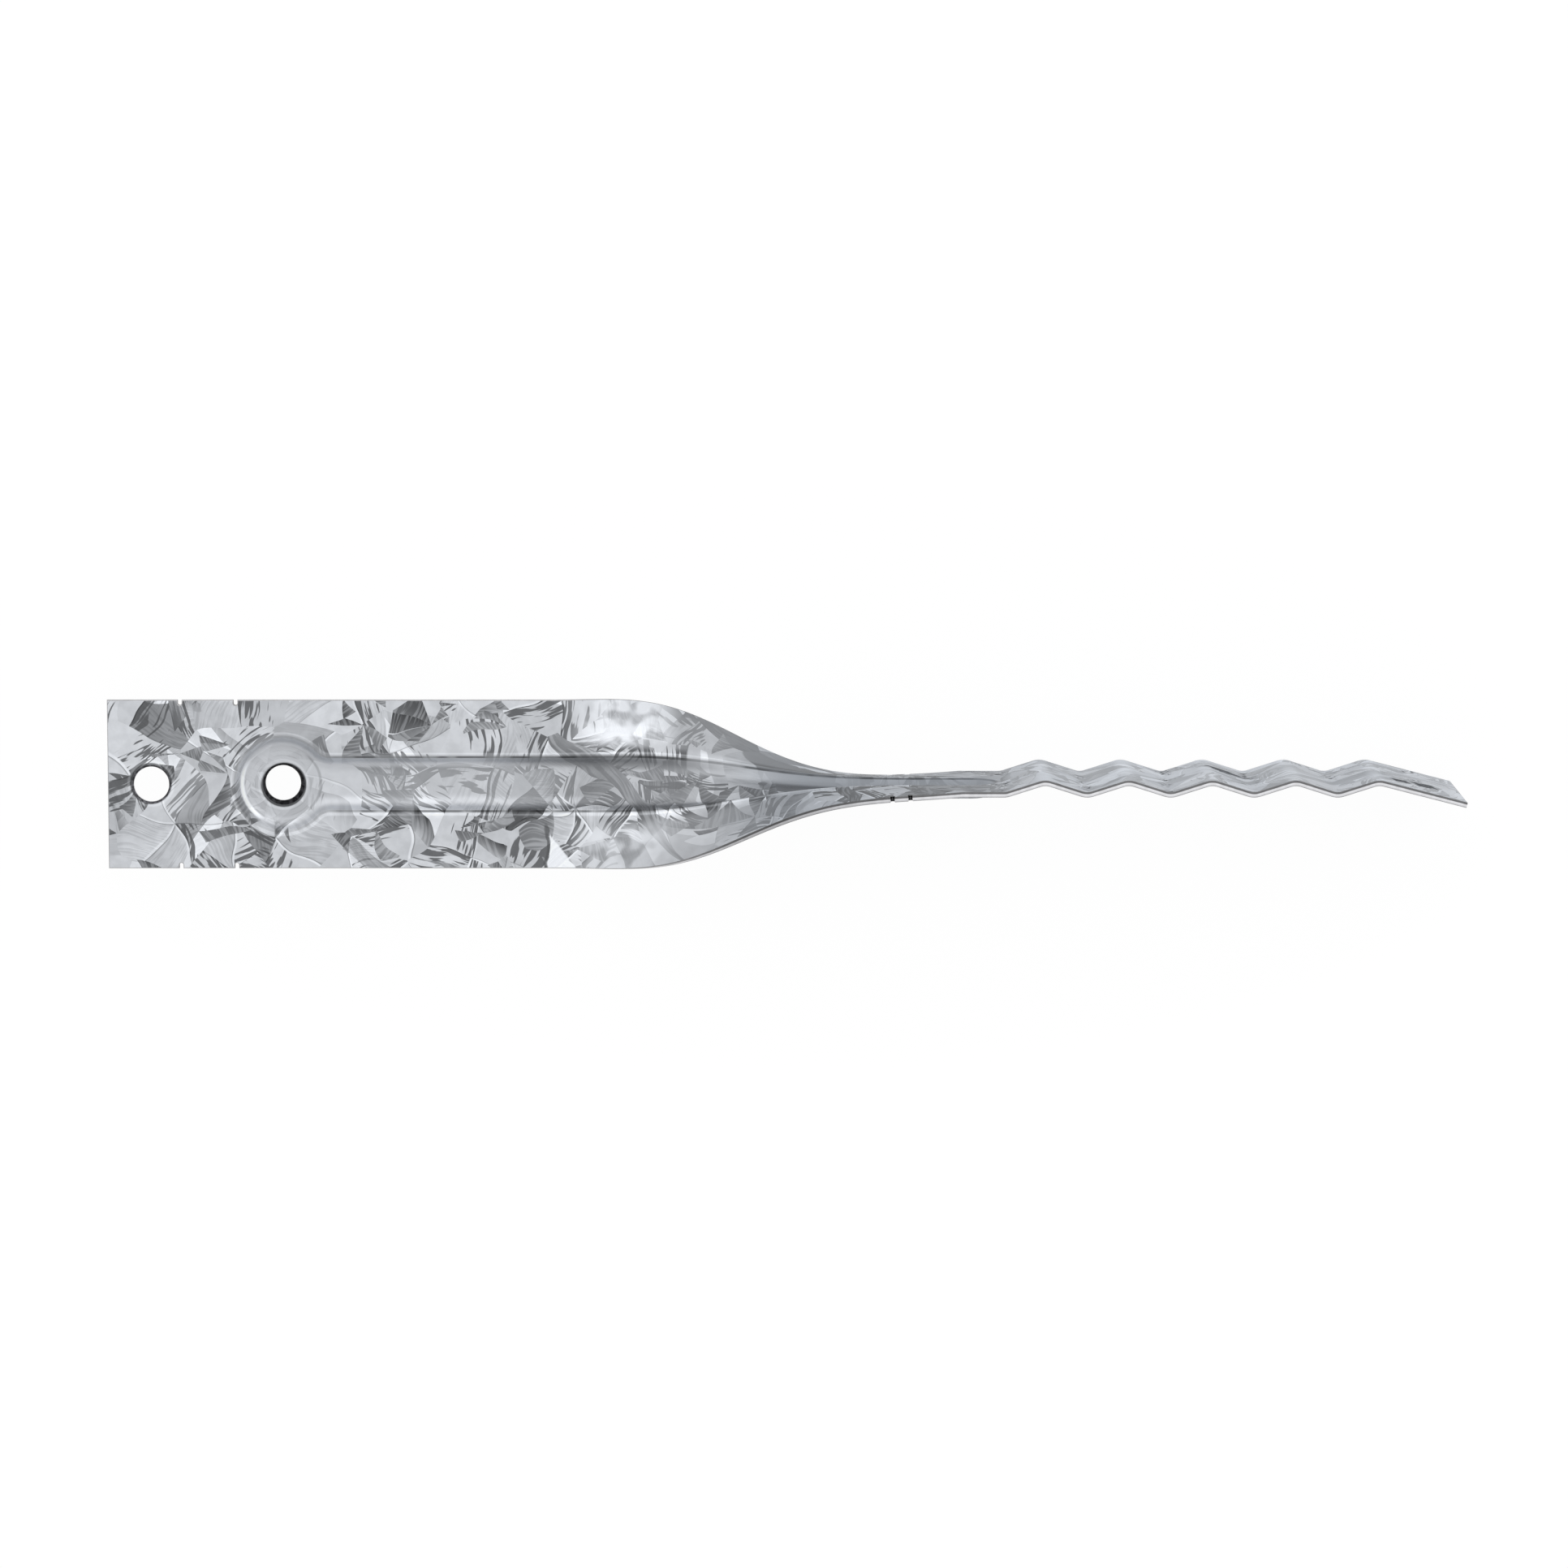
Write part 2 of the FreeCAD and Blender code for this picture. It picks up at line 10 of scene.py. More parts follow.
import bmesh
import bpy
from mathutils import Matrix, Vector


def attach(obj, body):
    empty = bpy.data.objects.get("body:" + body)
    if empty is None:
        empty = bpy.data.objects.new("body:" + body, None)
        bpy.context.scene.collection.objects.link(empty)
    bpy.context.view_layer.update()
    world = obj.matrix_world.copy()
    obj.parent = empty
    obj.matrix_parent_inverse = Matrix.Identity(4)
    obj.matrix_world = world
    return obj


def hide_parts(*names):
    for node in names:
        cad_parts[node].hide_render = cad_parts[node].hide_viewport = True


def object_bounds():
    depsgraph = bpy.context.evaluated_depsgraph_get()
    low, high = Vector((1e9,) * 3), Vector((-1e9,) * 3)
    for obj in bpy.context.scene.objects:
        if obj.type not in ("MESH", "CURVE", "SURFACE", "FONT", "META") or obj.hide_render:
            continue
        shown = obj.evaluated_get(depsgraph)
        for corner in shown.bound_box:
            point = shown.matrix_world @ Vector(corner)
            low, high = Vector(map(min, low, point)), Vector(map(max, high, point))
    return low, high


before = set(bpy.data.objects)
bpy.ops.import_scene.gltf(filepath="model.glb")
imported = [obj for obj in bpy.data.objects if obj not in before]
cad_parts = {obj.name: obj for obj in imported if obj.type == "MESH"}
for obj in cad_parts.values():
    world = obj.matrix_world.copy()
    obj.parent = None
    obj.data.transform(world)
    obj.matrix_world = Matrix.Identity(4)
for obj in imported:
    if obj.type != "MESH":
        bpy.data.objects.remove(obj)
cad_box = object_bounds()
print("the packed tie spans", cad_box)

# %% [markdown]
# ## Sizes
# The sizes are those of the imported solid, in millimetres. Features of a tenth of a millimetre are easier to draw
# and to check in millimetres, so the strip is formed at that size and scaled to metres as its last step.

# %% Sizes in millimetres
SHEET = 0.8
HALF_WIDTH = 12.5
END_MARGIN = 6.4
TWIST_START, TWIST_END = 59.5, 119.2
CROWN_ANGLE = 9.0
HOLE_RADIUS = 2.6
DISH_PLACE = 19.3
DISH_RADIUS, BEAD_HALF, NECK_RADIUS = 7.1, 4.05, 2.5
BEAD_STOP = 120.5
BEAD_DEPTH = 1.5
WALL_SLOPE = 50
RIM_BEND, FLOOR_BEND = 0.6, 2.4
NOTCH_HALF, NOTCH_DEPTH = 0.3, 0.8
NOTCHES = (4.3, 12.5, 109.0, 111.6)
CRIMP_START, CRIMP_PITCH, CRIMP_RISE, CRIMP_BEND = 125.16, 12.15, 1.68, 2.6
CRESTS = 5
TIP_ANGLE = 14.5
STRIP_END = 192.59
print("the strip is", STRIP_END + END_MARGIN, "mm long and", 2 * HALF_WIDTH, "mm wide")

# %% [markdown]
# ## Drawing the outlines
# A sheet part starts as a drawing of its outlines. A pen is a single point: extruding it draws a straight line, and
# spinning it about a centre draws an arc. That gives true arcs at the necks and round ends, which a beveled corner
# would only come near.

# %% An empty mesh to draw in
bpy.ops.object.select_all(action="DESELECT")
bpy.ops.mesh.primitive_plane_add(size=1)
strip = bpy.context.object
strip.name = strip.data.name = "pressed_strip"
bpy.ops.object.mode_set(mode="EDIT")
bpy.ops.mesh.select_mode(type="VERT")
bpy.ops.mesh.delete(type="VERT")


def mesh_now():
    """The strip's mesh while it is in edit mode."""
    return bmesh.from_edit_mesh(strip.data)


print("an empty mesh for the strip, with", len(mesh_now().verts), "points")


# %% A pen for lines and arcs
def pen_down(x, y):
    """Starts an outline with one point."""
    bpy.ops.mesh.select_all(action="DESELECT")
    bpy.ops.mesh.primitive_plane_add(size=1, location=(x, y, 0))
    bpy.ops.mesh.merge(type="CENTER")


def pen_at():
    """Where the pen is: the one selected point."""
    return next(v.co.copy() for v in mesh_now().verts if v.select)


def line_to(x, y):
    """Draws a straight line."""
    here = pen_at()
    bpy.ops.mesh.extrude_vertices_move(TRANSFORM_OT_translate={"value": (x - here.x, y - here.y, 0)})


def arc_about(x, y, degrees, steps):
    """Draws an arc about a centre, anticlockwise for a positive angle."""
    bpy.ops.mesh.spin(steps=steps, angle=-math.radians(degrees), center=(x, y, 0), axis=(0, 0, 1))


def choose(test, kind="verts"):
    """Selects the points, edges or faces that a test picks, and nothing else."""
    bpy.ops.mesh.select_all(action="DESELECT")
    mesh = mesh_now()
    chosen = [part for part in getattr(mesh, kind) if test(part)]
    for part in chosen:
        part.select_set(True)
    bmesh.update_edit_mesh(strip.data)
    return len(chosen)


# %% [markdown]
# ## The pressed channel
# A punch sinks a round dish and a channel into the strip. Seen from above they make a keyhole: the dish, a rounded
# neck on each side, and two straight sides to a round end. One face with that outline is inset again and again,
# each time a little inwards and down, so the steps follow the bend of the rim, the wall and the bend of the floor.

# %% Keyhole outline
EASE = 0.8
DISH_ARC_STEPS, NECK_ARC_STEPS, END_ARC_STEPS = 72, 8, 32
dish, half, neck = DISH_RADIUS + EASE, BEAD_HALF + EASE, NECK_RADIUS - EASE
neck_y = half + neck
neck_x = math.sqrt((dish + neck) ** 2 - neck_y**2)
bearing = math.degrees(math.atan2(neck_y, neck_x))
start = math.radians(bearing)
pen_down(DISH_PLACE + dish * math.cos(start), dish * math.sin(start))
arc_about(DISH_PLACE, 0, 360 - 2 * bearing, DISH_ARC_STEPS)
arc_about(DISH_PLACE + neck_x, -neck_y, bearing - 90, NECK_ARC_STEPS)
line_to(BEAD_STOP, -half)
arc_about(BEAD_STOP, 0, 180, END_ARC_STEPS)
line_to(DISH_PLACE + neck_x, half)
arc_about(DISH_PLACE + neck_x, neck_y, bearing - 90, NECK_ARC_STEPS)
bpy.ops.mesh.select_all(action="SELECT")
bpy.ops.mesh.remove_doubles(threshold=0.01)
bpy.ops.mesh.edge_face_add()
if mesh_now().faces[:][0].normal.z < 0:
    bpy.ops.mesh.flip_normals()
print("the keyhole has", len(mesh_now().verts), "points")

# %% Profile of the channel's wall
FLOOR_RIM = 0.3
slope = math.radians(WALL_SLOPE)
RIM_START = (RIM_BEND + SHEET / 2) * math.tan(slope / 2)
wall_drop = BEAD_DEPTH - (RIM_BEND + FLOOR_BEND) * (1 - math.cos(slope))
FLOOR_START = RIM_START - (RIM_BEND + FLOOR_BEND) * math.sin(slope) - wall_drop / math.tan(slope)


def press_profile():
    """Reach and level of each step across the channel's wall, from its outline inwards."""
    steps = [(EASE, 0.0)]
    for turn in range(0, WALL_SLOPE + 1, 10):
        angle = math.radians(turn)
        steps.append((RIM_START - RIM_BEND * math.sin(angle), -RIM_BEND * (1 - math.cos(angle))))
    for turn in range(WALL_SLOPE, -1, -10):
        angle = math.radians(turn)
        level = FLOOR_BEND * (1 - math.cos(angle)) - BEAD_DEPTH
        steps.append((FLOOR_START + FLOOR_BEND * math.sin(angle), level))
    return steps + [(FLOOR_START - FLOOR_RIM, -BEAD_DEPTH)]


profile = press_profile()
print("the wall runs from", round(RIM_START, 3), "to", round(FLOOR_START, 3), "mm in", len(profile), "steps")

# %% Press the channel, step by step
mesh_now().verts.layers.float.new("reach")


def note_reach(reach):
    """Writes on the selected points how far outside the channel's outline they lie."""
    mesh = mesh_now()
    layer = mesh.verts.layers.float["reach"]
    for point in mesh.verts:
        if point.select:
            point[layer] = reach


note_reach(EASE)
for (reach, level), (next_reach, next_level) in zip(profile, profile[1:]):
    bpy.ops.mesh.inset(thickness=reach - next_reach, depth=next_level - level)
    note_reach(next_reach)
bpy.ops.mesh.delete(type="ONLY_FACE")
print("the channel's mesh has", len(mesh_now().faces), "faces")

# %% [markdown]
# ## Outline, holes and the flat of the sheet
# The strip is sheared from coil, with small notches beside the tabs that held it to its neighbour. Each nail hole
# starts as a circle with a ring round it, so that the edge which the punch rolls over has clean quads to bend.
# The flat sheet between all these outlines is then filled in one go.

# %% Strip outline with notches
NOTCH_ARC_STEPS = 6


def notched_edge(stations, side):
    """Draws one long edge of the strip from notch to notch."""
    ahead = 1 if side < 0 else -1
    edge = side * HALF_WIDTH
    bottom = edge - side * (NOTCH_DEPTH - NOTCH_HALF)
    for station in stations:
        line_to(station - ahead * NOTCH_HALF, edge)
        line_to(station - ahead * NOTCH_HALF, bottom)
        arc_about(station, bottom, -180, NOTCH_ARC_STEPS)
        line_to(station + ahead * NOTCH_HALF, edge)


pen_down(-END_MARGIN, -HALF_WIDTH)
notched_edge(NOTCHES, -1)
line_to(STRIP_END, -HALF_WIDTH)
line_to(STRIP_END, HALF_WIDTH)
notched_edge(NOTCHES[::-1], 1)
line_to(-END_MARGIN, HALF_WIDTH)
line_to(-END_MARGIN, -HALF_WIDTH)
bpy.ops.mesh.select_all(action="SELECT")
bpy.ops.mesh.remove_doubles(threshold=0.001)
print("outline drawn with", 2 * len(NOTCHES), "notches")

# %% Nail holes, each with a ring
RING, HOLE_SIDES = 1.3, 72


def nail_hole(x, level):
    """A circle and a ring of faces round it."""
    bpy.ops.mesh.select_all(action="DESELECT")
    bpy.ops.mesh.primitive_circle_add(vertices=HOLE_SIDES, radius=HOLE_RADIUS, location=(x, 0, level))
    bpy.ops.mesh.extrude_edges_move()
    bpy.ops.transform.resize(value=(RING, RING, 1), center_override=(x, 0, level))


nail_hole(0, 0)
nail_hole(DISH_PLACE, -BEAD_DEPTH)
print("two nail holes of", 2 * HOLE_RADIUS, "mm, at 0 and", DISH_PLACE, "mm")

# %% Fill the sheet between the outlines
bpy.ops.mesh.select_mode(type="EDGE")


def open_edge(edge, level):
    """True for an open edge at a level that is not the edge of a nail hole."""
    middle = (edge.verts[0].co + edge.verts[1].co) / 2
    holes = [math.hypot(middle.x - x, middle.y) for x in (0, DISH_PLACE)]
    return len(edge.link_faces) < 2 and abs(middle.z - level) < 0.01 and min(holes) > HOLE_RADIUS + 0.1


for level in (0, -BEAD_DEPTH):
    choose(lambda edge: open_edge(edge, level), "edges")
    bpy.ops.mesh.fill(use_beauty=True)
bpy.ops.mesh.select_all(action="SELECT")
bpy.ops.mesh.normals_make_consistent(inside=False)
if sum(face.normal.z for face in mesh_now().faces) < 0:
    bpy.ops.mesh.flip_normals()
flat_sheet = mesh_now()
reach_layer = flat_sheet.verts.layers.float["reach"]
for point in flat_sheet.verts:
    if point[reach_layer] == 0:
        point[reach_layer] = EASE if point.co.z > -0.01 else FLOOR_START
print("the flat pressed sheet has", len(flat_sheet.faces), "faces")

# %% [markdown]
# ## Rows across the strip
# A sheet can only bend where its mesh has edges. Straight cuts across the strip give it rows: close together in the
# twist and in the bends of the crimps, and few where it stays flat. A few cuts along the flanges keep the faces of
# the twist narrow, so that they hardly warp. Slivers left where cuts almost meet are merged away.

# %% Cut the rows
def cut(place, direction):
    """Cuts the selected sheet along a plane."""
    bpy.ops.mesh.bisect(plane_co=place, plane_no=direction, threshold=1e-4)


TWIST_ROWS = 84
FLANGE_LINES = (-10.5, -8.5, -6.5, -2, 0, 2, 6.5, 8.5, 10.5)
SLIVER = 0.03
FLANK = math.degrees(
    math.asin(2 * CRIMP_BEND / math.hypot(CRIMP_PITCH / 2, 2 * CRIMP_BEND - CRIMP_RISE))
    - math.atan2(2 * CRIMP_BEND - CRIMP_RISE, CRIMP_PITCH / 2)
)
BEND_RUN = CRIMP_BEND * math.sin(math.radians(FLANK))
rows = [TWIST_START + (TWIST_END - TWIST_START) * i / TWIST_ROWS for i in range(TWIST_ROWS + 1)]
for half_pitch in range(2 * CRESTS):
    bend = CRIMP_START + half_pitch * CRIMP_PITCH / 2
    rows += [bend + BEND_RUN * quarter / 4 for quarter in range(-4, 5)]
    rows += [bend + CRIMP_PITCH / 2 * share for share in (0.3, 0.5, 0.7)]
for row in sorted(rows):
    bpy.ops.mesh.select_all(action="SELECT")
    cut((row, 0, 0), (1, 0, 0))
for line in FLANGE_LINES:
    choose(lambda face: TWIST_START < face.calc_center_median().x < TWIST_END, "faces")
    cut((0, line, 0), (0, 1, 0))
bpy.ops.mesh.select_all(action="SELECT")
bpy.ops.mesh.remove_doubles(threshold=SLIVER)
bpy.ops.mesh.dissolve_degenerate(threshold=SLIVER)
print(len(rows), "rows cut,", len(mesh_now().faces), "faces")

# %% [markdown]
# ## The zinc's own map
# Zinc crystals grow on the flat coil, before any forming. The mesh still is flat here, so its UV map is simply each
# point's place on the sheet. Every later bend carries the map along, as the real sheet carried its crystals.

# %% Flat map of the sheet
SPAN = 200.0
uv = mesh_now().loops.layers.uv.verify()
for face in mesh_now().faces:
    for corner in face.loops:
        corner[uv].uv = ((corner.vert.co.x + END_MARGIN) / SPAN, (corner.vert.co.y + HALF_WIDTH) / SPAN)
bmesh.update_edit_mesh(strip.data)
print("one unit of the map is", SPAN, "mm of sheet")

# %% [markdown]
# ## Crimps, crown and twist
# The crimping rolls lift every row of the tail by the height of the wave at its place. In the twist each row leans
# its two flanges back a little, as the sheet draws in round the channel, and then turns about the strip's axis. A
# row is moved as a hand would move it, by one selection and one transform.

# %% Rise of the crimped tail
def on_bend(offset):
    """Height lost by a bend at a distance from its middle."""
    return CRIMP_BEND - math.sqrt(CRIMP_BEND**2 - offset**2)


def rise(x):
    """Height of the crimped sheet above the trough, at a place along the strip."""
    last_crest = CRIMP_START + (CRESTS - 0.5) * CRIMP_PITCH
    if x > last_crest:
        run = CRIMP_BEND * math.sin(math.radians(TIP_ANGLE))
        straight = max(0, x - last_crest - run) * math.tan(math.radians(TIP_ANGLE))
        return CRIMP_RISE - on_bend(min(x - last_crest, run)) - straight
    place = (x - CRIMP_START) % CRIMP_PITCH
    place = min(place, CRIMP_PITCH - place)
    if place < BEND_RUN:
        return on_bend(place)
    if place > CRIMP_PITCH / 2 - BEND_RUN:
        return CRIMP_RISE - on_bend(CRIMP_PITCH / 2 - place)
    low = on_bend(BEND_RUN)
    return low + (CRIMP_RISE - 2 * low) * (place - BEND_RUN) / (CRIMP_PITCH / 2 - 2 * BEND_RUN)


# %% Crimp the rows of the tail
def rows_between(first, last):
    """The points of the strip between two places, gathered by row."""
    gathered = {}
    for point in mesh_now().verts:
        if first < point.co.x < last:
            gathered.setdefault(round(point.co.x, 3), []).append(point)
    return gathered


def take(points):
    """Selects only these points."""
    bpy.ops.mesh.select_all(action="DESELECT")
    for point in points:
        point.select = True
    mesh_now().select_flush_mode()


def turn(points, degrees, centre):
    """Turns points about a line along the strip, the recessed face towards +Y."""
    take(points)
    bpy.ops.transform.rotate(value=math.radians(degrees), orient_axis="X", center_override=centre)


bpy.ops.mesh.select_mode(type="VERT")
formed_sheet = mesh_now()  # the points gathered by row stay valid only while their mesh is held
crimped = rows_between(CRIMP_START, STRIP_END + 1)
for place, points in crimped.items():
    take(points)
    bpy.ops.transform.translate(value=(0, 0, rise(place)))
print(len(crimped), "rows crimped, highest", round(max(rise(place) for place in crimped), 3), "mm")

# %% Lean and turn the rows of the twist
RIM_REACH = BEAD_HALF + RIM_START
TWIST_HASTE = 4.8


def twist_angle(part):
    """Turn of the strip at a share of the twist's length."""
    return 90 * (1 - (1 - part**2) ** TWIST_HASTE)


def crown(part):
    """Lean of the flanges at a share of the twist's length."""
    return CROWN_ANGLE * (1 - (1 - part) ** 3) * (1 - part**4)


twisted = rows_between(TWIST_START, TWIST_END - 1e-3)
for place, points in twisted.items():
    part = (place - TWIST_START) / (TWIST_END - TWIST_START)
    for side in (1, -1):
        flange = [point for point in points if side * point.co.y > RIM_REACH - 1e-3]
        turn(flange, side * crown(part), (place, side * RIM_REACH, -RIM_BEND))
    turn(points, twist_angle(part), (place, 0, 0))
turn([point for point in mesh_now().verts if point.co.x > TWIST_END - 1e-3], 90, (0, 0, 0))
print(len(twisted), "rows twisted")

# %% [markdown]
# ## Thickness and edges
# Solidify gives the formed sheet its even thickness on both sides of the drawn surface. It also makes the cut edges,
# which get a finish of their own. The punch rolls the edge of each nail hole over on the recessed face, more in the
# dish than at the end, and the shear leaves a small round on the long edges.

# %% Sheet thickness
FACE, CUT_EDGE, BACK, PIERCED, NOTCHED = range(5)
bpy.ops.object.mode_set(mode="OBJECT")
for _ in range(5):
    strip.data.materials.append(None)
sheet = strip.modifiers.new("sheet", "SOLIDIFY")
sheet.thickness = SHEET
sheet.offset = 0
sheet.use_even_offset = True
sheet.use_quality_normals = True
sheet.material_offset = BACK
sheet.material_offset_rim = CUT_EDGE
bpy.ops.object.modifier_apply(modifier=sheet.name)
print("solid strip:", len(strip.data.polygons), "faces")

# %% Depth in the sheet, and the walls of the notches
bpy.ops.object.mode_set(mode="EDIT")
solid = mesh_now()
through = solid.verts.layers.float.new("through")
for face in solid.faces:
    middle = face.calc_center_median()
    if face.material_index == BACK:
        for point in face.verts:
            point[through] = 1
    if face.material_index == CUT_EDGE and min(abs(middle.x - notch) for notch in NOTCHES) < NOTCH_HALF + 0.01:
        face.material_index = NOTCHED
print("notch walls:", sum(face.material_index == NOTCHED for face in solid.faces), "faces")

# %% Rolled edges of the nail holes
END_ROLL, DISH_ROLL = 0.3, 0.5
LIP_SHIFT = (0.12, -0.12, 0)


def cut_corner(edge, side):
    """True for a corner between a cut edge and one side of the sheet."""
    sides = {face.material_index for face in edge.link_faces}
    return sides in ({side, CUT_EDGE}, {side, NOTCHED})


def from_hole(edge, x):
    """Distance of an edge from the axis of a nail hole."""
    middle = (edge.verts[0].co + edge.verts[1].co) / 2
    return math.hypot(middle.x - x, middle.y)


def on_lip(point):
    """True for a point on the outer lip of the dish's hole."""
    radius = math.hypot(point.co.x - DISH_PLACE, point.co.y)
    return abs(radius - HOLE_RADIUS - DISH_ROLL) < 0.05 and point.co.z > -BEAD_DEPTH


bpy.ops.mesh.select_mode(type="EDGE")
for hole, roll in ((0, END_ROLL), (DISH_PLACE, DISH_ROLL)):
    choose(lambda edge: cut_corner(edge, FACE) and from_hole(edge, hole) < HOLE_RADIUS + 0.1, "edges")
    bpy.ops.mesh.bevel(offset=roll, segments=6, affect="EDGES", material=PIERCED)
bpy.ops.mesh.select_mode(type="VERT")
lip_points = choose(on_lip)
bpy.ops.transform.translate(value=LIP_SHIFT)
print("the lip of the dish's hole, with", lip_points, "points, is pulled off centre")

# %% Rounds of the sheared edges
FACE_ROUND, BACK_ROUND = 0.12, 0.05
bpy.ops.mesh.select_mode(type="EDGE")
for side, ease in ((FACE, FACE_ROUND), (BACK, BACK_ROUND)):
    choose(lambda edge: cut_corner(edge, side), "edges")
    bpy.ops.mesh.bevel(offset=ease, segments=2, affect="EDGES", material=CUT_EDGE)
bpy.ops.object.mode_set(mode="OBJECT")
bpy.ops.object.shade_smooth_by_angle(angle=math.radians(35))
level_faces = strip.modifiers.new("level_faces", "WEIGHTED_NORMAL")
level_faces.keep_sharp = True
bpy.ops.object.modifier_apply(modifier=level_faces.name)
print("edges rounded:", len(strip.data.polygons), "faces")

# %% From millimetres to metres
strip.scale = (0.001, 0.001, 0.001)
bpy.ops.object.transform_apply(scale=True)
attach(strip, "root")
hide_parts("veneer_tie")
print("the strip is", [round(side, 4) for side in strip.dimensions], "m")

# %% [markdown]
# ## Finish: galvanised spangle
# Hot-dip zinc freezes in crystals called spangle. Each crystal grows from one point in a few sectors, and each
# sector mirrors the light its own way, so the sheet looks like pieces of grey paper with combed lines. Cells of a
# Voronoi texture give the crystals, the angle about each cell's point gives the sectors, and lines drawn in a
# sector's own direction give the comb. All of it reads the flat map, so it bends and twists with the sheet.

# %% Nodes and sums on nodes
def put(tree, kind, settings, sockets):
    """Adds a node, sets it up, and feeds its inputs with values or with other nodes' outputs."""
    made = tree.nodes.new(kind)
    for name, setting in settings.items():
        setattr(made, name, setting)
    for name, feed in sockets.items():
        if isinstance(feed, bpy.types.NodeSocket):
            tree.links.new(feed, made.inputs[name])
        else:
            made.inputs[name].default_value = feed
    return made


def calc(tree, operation, *feeds):
    """The result of a sum on numbers."""
    return put(tree, "ShaderNodeMath", {"operation": operation}, dict(enumerate(feeds))).outputs[0]


def calc_vector(tree, operation, *feeds):
    """The result of a sum on places."""
    made = put(tree, "ShaderNodeVectorMath", {"operation": operation}, dict(enumerate(feeds)))
    return made.outputs["Value" if operation in ("LENGTH", "DISTANCE", "DOT_PRODUCT") else "Vector"]


def parts_of(tree, vector):
    """The three numbers of a place or colour."""
    return put(tree, "ShaderNodeSeparateXYZ", {}, {0: vector}).outputs


def turned(tree, vector, angle):
    """A place on the sheet, turned about the map's origin."""
    settings = {"rotation_type": "Z_AXIS"}
    return put(tree, "ShaderNodeVectorRotate", settings, {"Vector": vector, "Angle": angle}).outputs[0]


# %% Ramps, masks and groups
def ramp(tree, feed, stops):
    """A grey for a number from 0 to 1, from stops of place and grey."""
    made = put(tree, "ShaderNodeValToRGB", {}, {0: feed})
    points = made.color_ramp.elements
    while len(points) < len(stops):
        points.new(0.5)
    for point, (place, grey) in zip(points, stops):
        point.position = place
        point.color = (grey, grey, grey, 1)
    return made.outputs[0]


def between(tree, feed, low, high, first=0.0, last=1.0):
    """A number eased from first to last while the feed goes from low to high."""
    settings = {"interpolation_type": "SMOOTHSTEP"}
    return put(tree, "ShaderNodeMapRange", settings, {0: feed, 1: low, 2: high, 3: first, 4: last}).outputs[0]


def band(tree, feed, low, full_low, full_high, high):
    """A mask that rises from low to full_low and falls from full_high to high."""
    return calc(tree, "MULTIPLY", between(tree, feed, low, full_low), between(tree, feed, high, full_high))


def mixed(tree, share, first, last):
    """A number that goes from first to last as the share goes from 0 to 1."""
    return put(tree, "ShaderNodeMix", {"data_type": "FLOAT"}, {0: share, 2: first, 3: last}).outputs[0]


def new_group(name, given, results):
    """A node group with named sockets: its tree, what it is given and what it puts out."""
    tree = bpy.data.node_groups.new(name, "ShaderNodeTree")
    for way, sockets in (("INPUT", given), ("OUTPUT", results)):
        for socket, kind in sockets.items():
            tree.interface.new_socket(socket, in_out=way, socket_type="NodeSocket" + kind)
    return tree, tree.nodes.new("NodeGroupInput").outputs, tree.nodes.new("NodeGroupOutput").inputs


# %% Noise, combed lines and cells
def noise(tree, place, scale, detail=1.0):
    """A soft random number at a place."""
    feeds = {"Vector": place, "Scale": scale, "Detail": detail}
    return put(tree, "ShaderNodeTexNoise", {"noise_dimensions": "2D"}, feeds).outputs[0]


def strokes(tree, place, angle, fine, low=0.44, high=0.62):
    """Broken fine lines, as if combed in one direction."""
    lain = calc_vector(tree, "MULTIPLY", turned(tree, place, angle), (0.22, fine, 1))
    return between(tree, noise(tree, lain, 1.0, 1.5), low, high)


def cells(tree, place, scale):
    """Cells on the sheet, each with a point and chances of its own."""
    settings = {"voronoi_dimensions": "2D", "feature": "F1"}
    return put(tree, "ShaderNodeTexVoronoi", settings, {"Vector": place, "Scale": scale, "Randomness": 1.0})


def splinters(tree, place, turn, length, width):
    """Slender crystals that lie in one direction: the chances of each, and how far a place is beside its middle."""
    lain = calc_vector(tree, "MULTIPLY", turned(tree, place, turn), (1 / length, 1 / width, 1))
    splinter = cells(tree, lain, 1.0)
    beside = parts_of(tree, calc_vector(tree, "SUBTRACT", lain, splinter.outputs["Position"]))[1]
    return parts_of(tree, splinter.outputs["Color"]), beside


# %% One growth of crystals
FULL_TURN = 2 * math.pi


